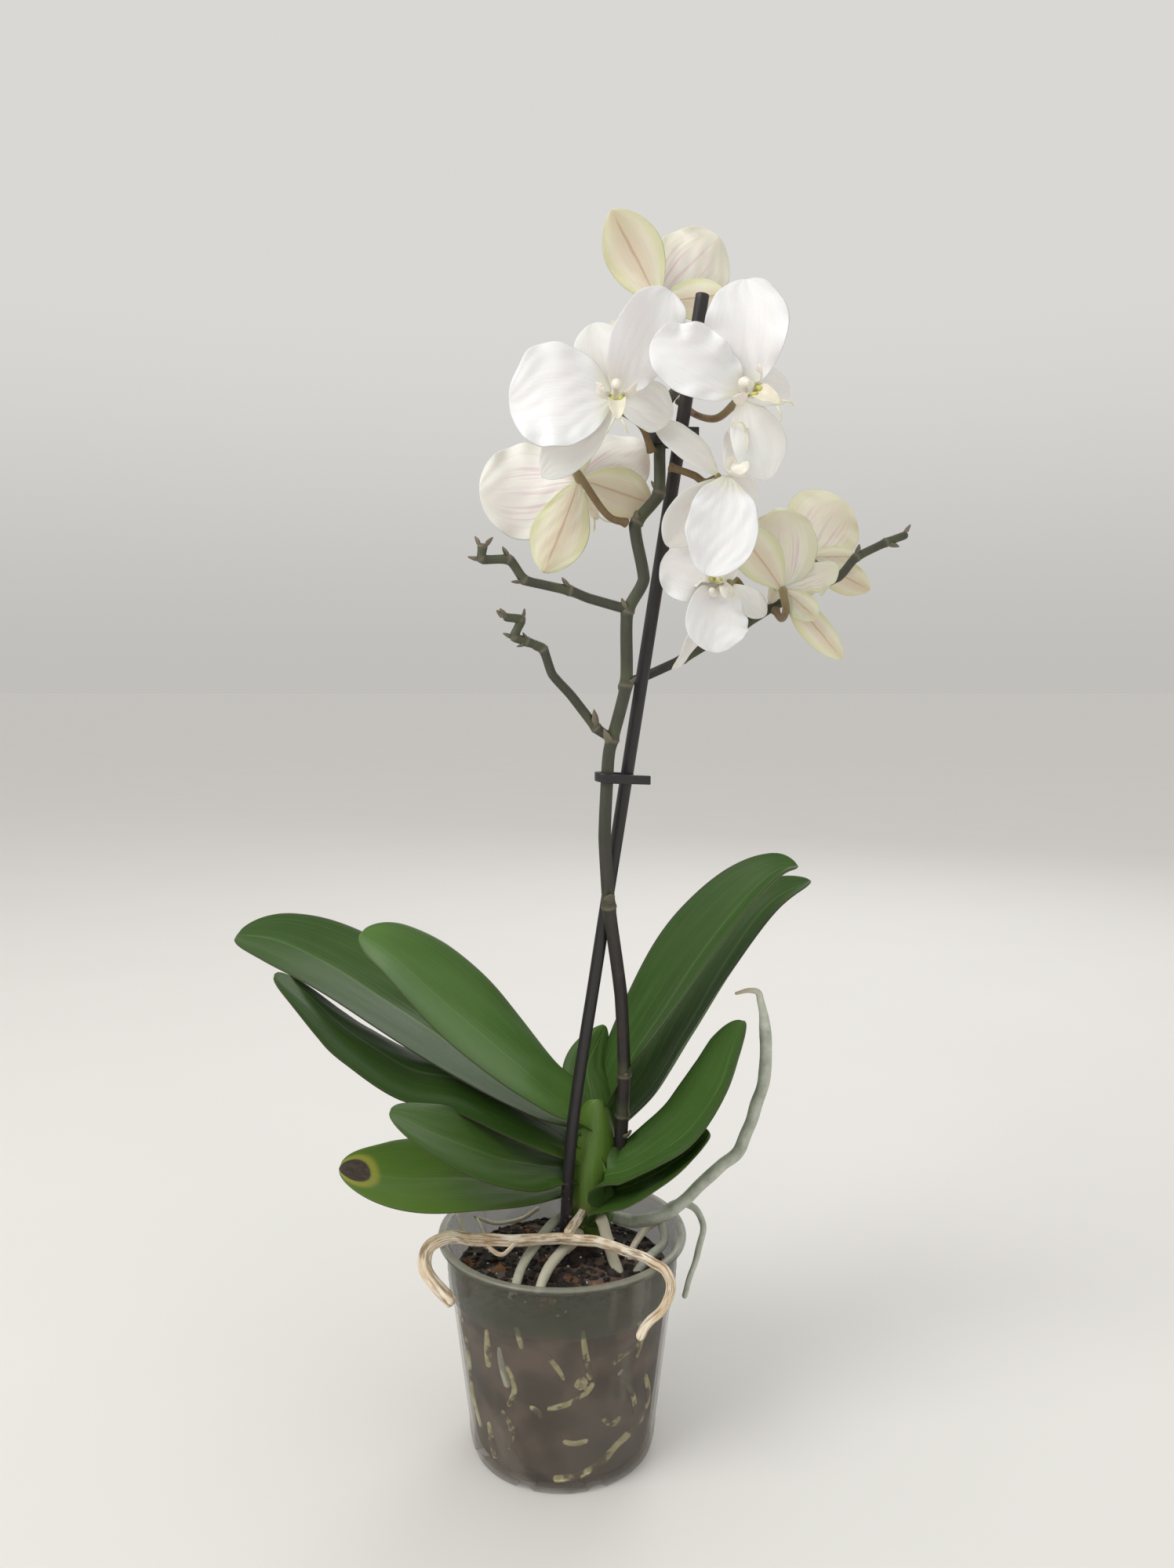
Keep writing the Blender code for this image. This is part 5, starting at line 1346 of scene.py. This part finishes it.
def waxy_lip():
    finish = Finish("waxy_lip")
    soft = finish.noise(160.0, 3.0, 0.5)
    fleck = finish.noise(900.0, 2.0, 0.5)
    colour = finish.blend(soft, (0.84, 0.82, 0.74), (0.92, 0.91, 0.86))
    colour = finish.blend(finish.tint(0), colour, (0.55, 0.56, 0.12))
    colour = finish.blend(finish.tint(1), colour, (0.80, 0.55, 0.62))
    colour = finish.blend(fleck.step(0.60, 0.70) * finish.tint(2), colour, (0.45, 0.16, 0.14))
    return finish.surface(colour, 0.34 + soft * 0.15, soft, 0.0003, 0.4, Subsurface_Weight=0.15,
                          Subsurface_Scale=0.003)


def brown_stalk():
    finish = Finish("brown_stalk")
    streak = finish.streaks((500.0, 500.0, 90.0), 4.0, 0.6)
    tip = finish.tint(0)
    colour = finish.blend(streak, (0.115, 0.070, 0.030), (0.25, 0.165, 0.075))
    colour = finish.blend(tip, colour, (0.42, 0.40, 0.20))
    return finish.surface(colour, 0.42 + streak * 0.2, streak, 0.0004, 0.5)


lip_finish, stalk_finish = waxy_lip(), brown_stalk()

# %% Flowers: where each is, in metres from the lip's level, and its blades in millimetres from its centre
FLOWERS = {
    "flower_1": {
        "centre": (0.044, -0.012, 0.4313), "facing": (0.1, 0.9, 0.35), "lip": (1, 0, -0.3),
        "stalk": [(0.0615, -0.0200, 0.4065), (0.055, -0.022, 0.4123)],
        "sepals": [((-21, -2, 39), (1, -0.3, 0.5), 13, 3), ((29, -3, 3), (0.1, 0.0, 1), 9, 3),
                   ((-9, -2, -24), (1, 0, -0.3), 9, 3)],
        "petals": [((27, 5, 30), (0.8, 0.1, -0.6), 18, 5), ((-21, 16, -9), (0.1, 0.3, 0.9), 13, 3)],
    },
    "flower_2": {
        "centre": (0.023, -0.070, 0.3773), "facing": (0.05, -1, 0.1), "lip": (0, 0, -1),
        "stalk": [(0.0388, -0.0500, 0.3600), (0.034, -0.056, 0.3693)],
        "sepals": [((-8, 4, 31), (1, 0, 0.1), 12, 3), ((24, 5, -5), (0.2, 0, 1), 10, 3),
                   ((-29, 4, -30), (0.7, 0, -0.7), 10, 3)],
        "petals": [((-42, -1, -3), (0, 0.1, 1), 21, 4), ((22, -2, 40), (0.8, 0.3, -0.45), 14, 4)],
    },
    "flower_3": {
        "centre": (0.009, -0.044, 0.3483), "facing": (0.05, 1, -0.1), "lip": (0.5, 0, -0.9),
        "stalk": [(0.0283, -0.0510, 0.3303), (0.020, -0.055, 0.3333)],
        "sepals": [((-15, -3, -39), (1, 0, -0.35), 12, 2), ((31, 6, -9), (0.25, 0, 1), 11, 0),
                   ((-8, 0, 34), (1, 0, 0.2), 11, 2)],
        "petals": [((-43, 5, -3), (0, 0.1, 1), 21, 5), ((28, 13, 18), (-0.5, 0.2, 0.8), 15, 4)],
    },
    "flower_4": {
        "centre": (0.073, -0.075, 0.3773), "facing": (0.1, -1, 0.1), "lip": (0.75, 0, -0.6),
        "stalk": [(0.0514, -0.0308, 0.3850), (0.0585, -0.0325, 0.3785), (0.066, -0.050, 0.3733)],
        "sepals": [((-9, 6, 26), (0.9, 0, 0.4), 9, 2), ((20, 4, 6), (-0.4, 0.2, 0.9), 9, 2),
                   ((12, 3, -32), (1, 0, 0.35), 11, 3)],
        "petals": [((1, -2, 43), (1, -0.15, 0), 16, 4), ((-36, -4, 19), (0.4, -0.2, 0.8), 13, 4)],
    },
    "flower_5": {
        "centre": (0.069, -0.062, 0.3483), "facing": (0.75, -0.6, 0.2), "lip": (-0.2, -0.3, 0.9),
        "stalk": [(0.0470, -0.0495, 0.3533), (0.056, -0.054, 0.3493)],
        "sepals": [((-27, 2, 22), (0.6, 0.5, 0.6), 8, 1), ((-21, 8, -27), (0.8, 0.4, -0.5), 11, 0),
                   ((16, 12, -13), (0.5, 0.3, 0.7), 9, 1)],
        "petals": [((-9, -13, -42), (1, 0.2, 0), 15, 2), ((15, 6, 19), (-0.7, 0.3, 0.6), 12, 3)],
    },
    "flower_6": {
        "centre": (0.096, -0.040, 0.3043), "facing": (0.1, 0.9, 0.4), "lip": (-0.3, 0, -1),
        "stalk": [(0.0955, -0.0242, 0.2955), (0.0965, -0.035, 0.2913), (0.0965, -0.046, 0.2948)],
        "sepals": [((-21, -8, 25), (0.7, -0.3, 0.6), 10, 2), ((26, 1, -29), (0.7, 0.2, 0.6), 7, 2),
                   ((14, -3, -12), (0.5, 0, 0.9), 6, 1)],
        "petals": [((-1, 2, 33), (1, 0.1, 0.1), 17, 5), ((25, 7, 10), (-0.4, 0.5, 0.8), 9, 3)],
    },
    "flower_7": {
        "centre": (0.114, 0.006, 0.3223), "facing": (-0.1, 0.95, 0.25), "lip": (-0.3, 0, -1),
        "stalk": [(0.1185, -0.0160, 0.3093), (0.118, -0.007, 0.3153)],
        "sepals": [((22, -2, 0), (0, 0.2, 1), 6, 1), ((29, -1, -15), (0.5, 0, 0.9), 8, 2),
                   ((-6, 0, -16), (1, 0, 0), 7, 2)],
        "petals": [((18, 5, 27), (-0.75, 0.1, 0.7), 19, 5), ((-20, 6, 18), (0.7, 0.1, 0.75), 14, 5)],
    },
    "flower_8": {
        "centre": (0.071, -0.042, 0.3053), "facing": (-0.5, -0.7, -0.2), "lip": (0.5, 0.2, 0.9),
        "stalk": [(0.0800, -0.0245, 0.2908), (0.082, -0.034, 0.2983)],
        "sepals": [((-24, 5, -37), (0.5, 0.8, -0.2), 6, 1), ((17, 6, -13), (0.5, 0, 0.9), 6, 1),
                   ((2, 7, 18), (1, -0.2, 0), 7, 1)],
        "petals": [((-27, -3, 11), (0.3, 0, 0.9), 13, 3), ((-6, -10, -29), (0.75, 0.2, -0.6), 15, 4)],
    },
}
SEPAL_SET_BACK = 3.5 * MM
LIP_SIZE = 1.25


# %% Tints: cream, streaks, midline and under side, over one blade
def petal_tint(front, back):
    """front and back are (cream, streaks, midline) for the two sides."""

    def tint(share, over, under):
        shape = share.shape
        looks = [front[k] * (1 - under) + back[k] * under for k in range(3)]
        fade = np.clip(1.15 - share * 0.35, 0.0, 1.0)
        return np.stack([np.broadcast_to(looks[0], shape) * fade, np.broadcast_to(looks[1], shape),
                         np.broadcast_to(looks[2], shape), under], axis=-1)

    return tint


# Looks of the blades: cream, streaks and midline on the front, and then on the back.
SEPAL_LOOK = ((0.15, 0.10, 0.0), (0.90, 0.15, 0.80))
PETAL_LOOK = ((0.0, 0.08, 0.0), (0.25, 0.60, 0.0))
CREAM_PETALS = {"flower_1": 0.50, "flower_6": 0.75, "flower_7": 0.75}


# %% Blades of one flower
BLADES = {
    "petals": dict(cup=0.0032, widest=0.56, roundness=0.50, foot=0.12, rows=64, columns=44, thickness=0.0007,
                   fold=0.0012, ruffle=0.0034, waves=2.8, curl=0.0008, crumple=0.0008),
    "sepals": dict(cup=0.0022, widest=0.56, roundness=0.62, foot=0.14, rows=60, columns=34, thickness=0.0008,
                   fold=0.0006, ruffle=0.0008, waves=2.0, curl=0.0012, crumple=0.0006),
}
FIRST_SEED = {"petals": 2050, "sepals": 2000}


def petals_piece(name, kind, centre, facing, rows, set_back, looks, number):
    """The two petals or three sepals of one flower, each from its row of tip, width direction, width and arch."""
    start = centre - facing * set_back
    skin = Skin()
    for index, (offset, across, half_width, arch) in enumerate(rows):
        tip = centre + np.array(offset, float) * MM - facing * set_back
        middle = start + (tip - start) * 0.5 + facing * arch * MM
        foot = start + (tip - start) * 0.02
        blade(skin, [foot, middle, tip], (across, across), facing, half_width * MM, tint=petal_tint(*looks),
              seed=FIRST_SEED[kind] + number * 100 + index * 11, **BLADES[kind])
    node = f"{name}_{kind}"
    skin.make(node, petal_finish, node)


# %% Column and lip
LOBE_HALF_WIDTH, LOBE_CUP = 3.6 * MM, 0.0012


def lip_piece(name, centre, facing, down, number):
    """The column, two side lobes, a middle lobe with two curled threads, and the callus."""
    skin = Skin()
    side = np.cross(facing, down)

    def at(forward, below, aside=0.0):
        return centre + (facing * forward + down * below + side * aside) * LIP_SIZE * MM

    column, _ = smooth_path([at(2.2, 0.6), at(4.5, -1.0), at(7.2, -1.6), at(9.0, -0.4)], 0.0004)
    swell = np.interp(np.linspace(0, 1, len(column)), [0, 0.5, 0.85, 1], [1.6, 1.7, 2.1, 1.5]) * MM
    sweep(skin, column, swell, 20, None, (0.05, 0.08, 0.1, 1.0), (0.5, 0.9))
    for hand in (-1, 1):
        lobe = [at(4.0, 2.5, 1.0 * hand), at(7.5, 2.0, 4.5 * hand), at(10.5, -0.8, 6.2 * hand)]
        blade(skin, lobe, (facing, facing - down * 0.4), -side * hand - down * 0.2, LOBE_HALF_WIDTH, LOBE_CUP,
              0.62, 0.5, 0.35, rows=26, columns=16, thickness=0.0007, ruffle=0.0006, waves=2.0,
              seed=4000 + number * 10 + hand, tint=(0.08, 0.10, 0.3, 1.0))
        thread, _ = smooth_path([at(12.0, 10.5, 0.8 * hand), at(12.6, 13.2, 2.2 * hand),
                                 at(10.4, 14.8, 3.2 * hand), at(8.8, 13.6, 2.6 * hand)], 0.0004)
        sweep(skin, thread, np.linspace(0.50, 0.22, len(thread)) * MM, 8, None, (0.35, 0.0, 0.0, 1.0))
        bump, _ = smooth_path([at(6.2, 3.2, 0.9 * hand), at(7.8, 3.0, 1.4 * hand), at(9.0, 3.8, 1.2 * hand)],
                              0.0003)
        sweep(skin, bump, 1.05 * MM, 12, None, (0.95, 0.0, 0.7, 1.0))
    blade(skin, [at(3.5, 2.8), at(9.5, 5.0), at(12.5, 11.5)], (side, side), facing - down * 0.5, LOBE_HALF_WIDTH,
          LOBE_CUP, 0.45, 0.55, 0.40, rows=34, columns=18, thickness=0.0008, fold=0.0006, ruffle=0.0007,
          seed=4500 + number, tint=(0.28, 0.15, 0.2, 1.0))
    node = f"{name}_lip"
    skin.make(node, lip_finish, node)


# %% Stalk
def stalk_piece(name, points, back, facing):
    """The stalk, from its branch to the back of the flower, where it is paler."""
    path, places = smooth_path(raised(points) + [tuple(back - facing * 7 * MM), tuple(back)], 0.0006)
    radius = np.interp(places / places[-1], [0, 0.06, 0.2, 0.7, 1], [2.1, 1.6, 1.45, 1.6, 1.9]) * MM

    def shape(along, turn):
        return 0.05 * np.sin(turn * 3 + along * 100)

    def tint(along, turn):
        pale = np.clip(along / places[-1] * 1.6 - 0.9, 0, 1) * 0.6
        return np.stack([pale, 0 * along, 0 * along, 1 + 0 * along], axis=-1)

    skin = Skin()
    sweep(skin, path, radius, 18, shape, tint, (0.4, 0.3))
    skin.make(f"{name}_stalk", stalk_finish, f"{name}_stalk")


# %% Every flower
for number, (name, design) in enumerate(FLOWERS.items()):
    centre = np.array(raised([design["centre"]])[0])
    facing = unit(np.array(design["facing"], float))
    down = np.array(design["lip"], float)
    down = unit(down - facing * (down @ facing))
    petals_piece(name, "sepals", centre, facing, design["sepals"], SEPAL_SET_BACK, SEPAL_LOOK, number)
    petal_look = (PETAL_LOOK[0], (CREAM_PETALS.get(name, PETAL_LOOK[1][0]), *PETAL_LOOK[1][1:]))
    petals_piece(name, "petals", centre, facing, design["petals"], 0.0, petal_look, number)
    lip_piece(name, centre, facing, down, number)
    stalk_piece(name, design["stalk"], centre - facing * (SEPAL_SET_BACK + 0.2 * MM), facing)
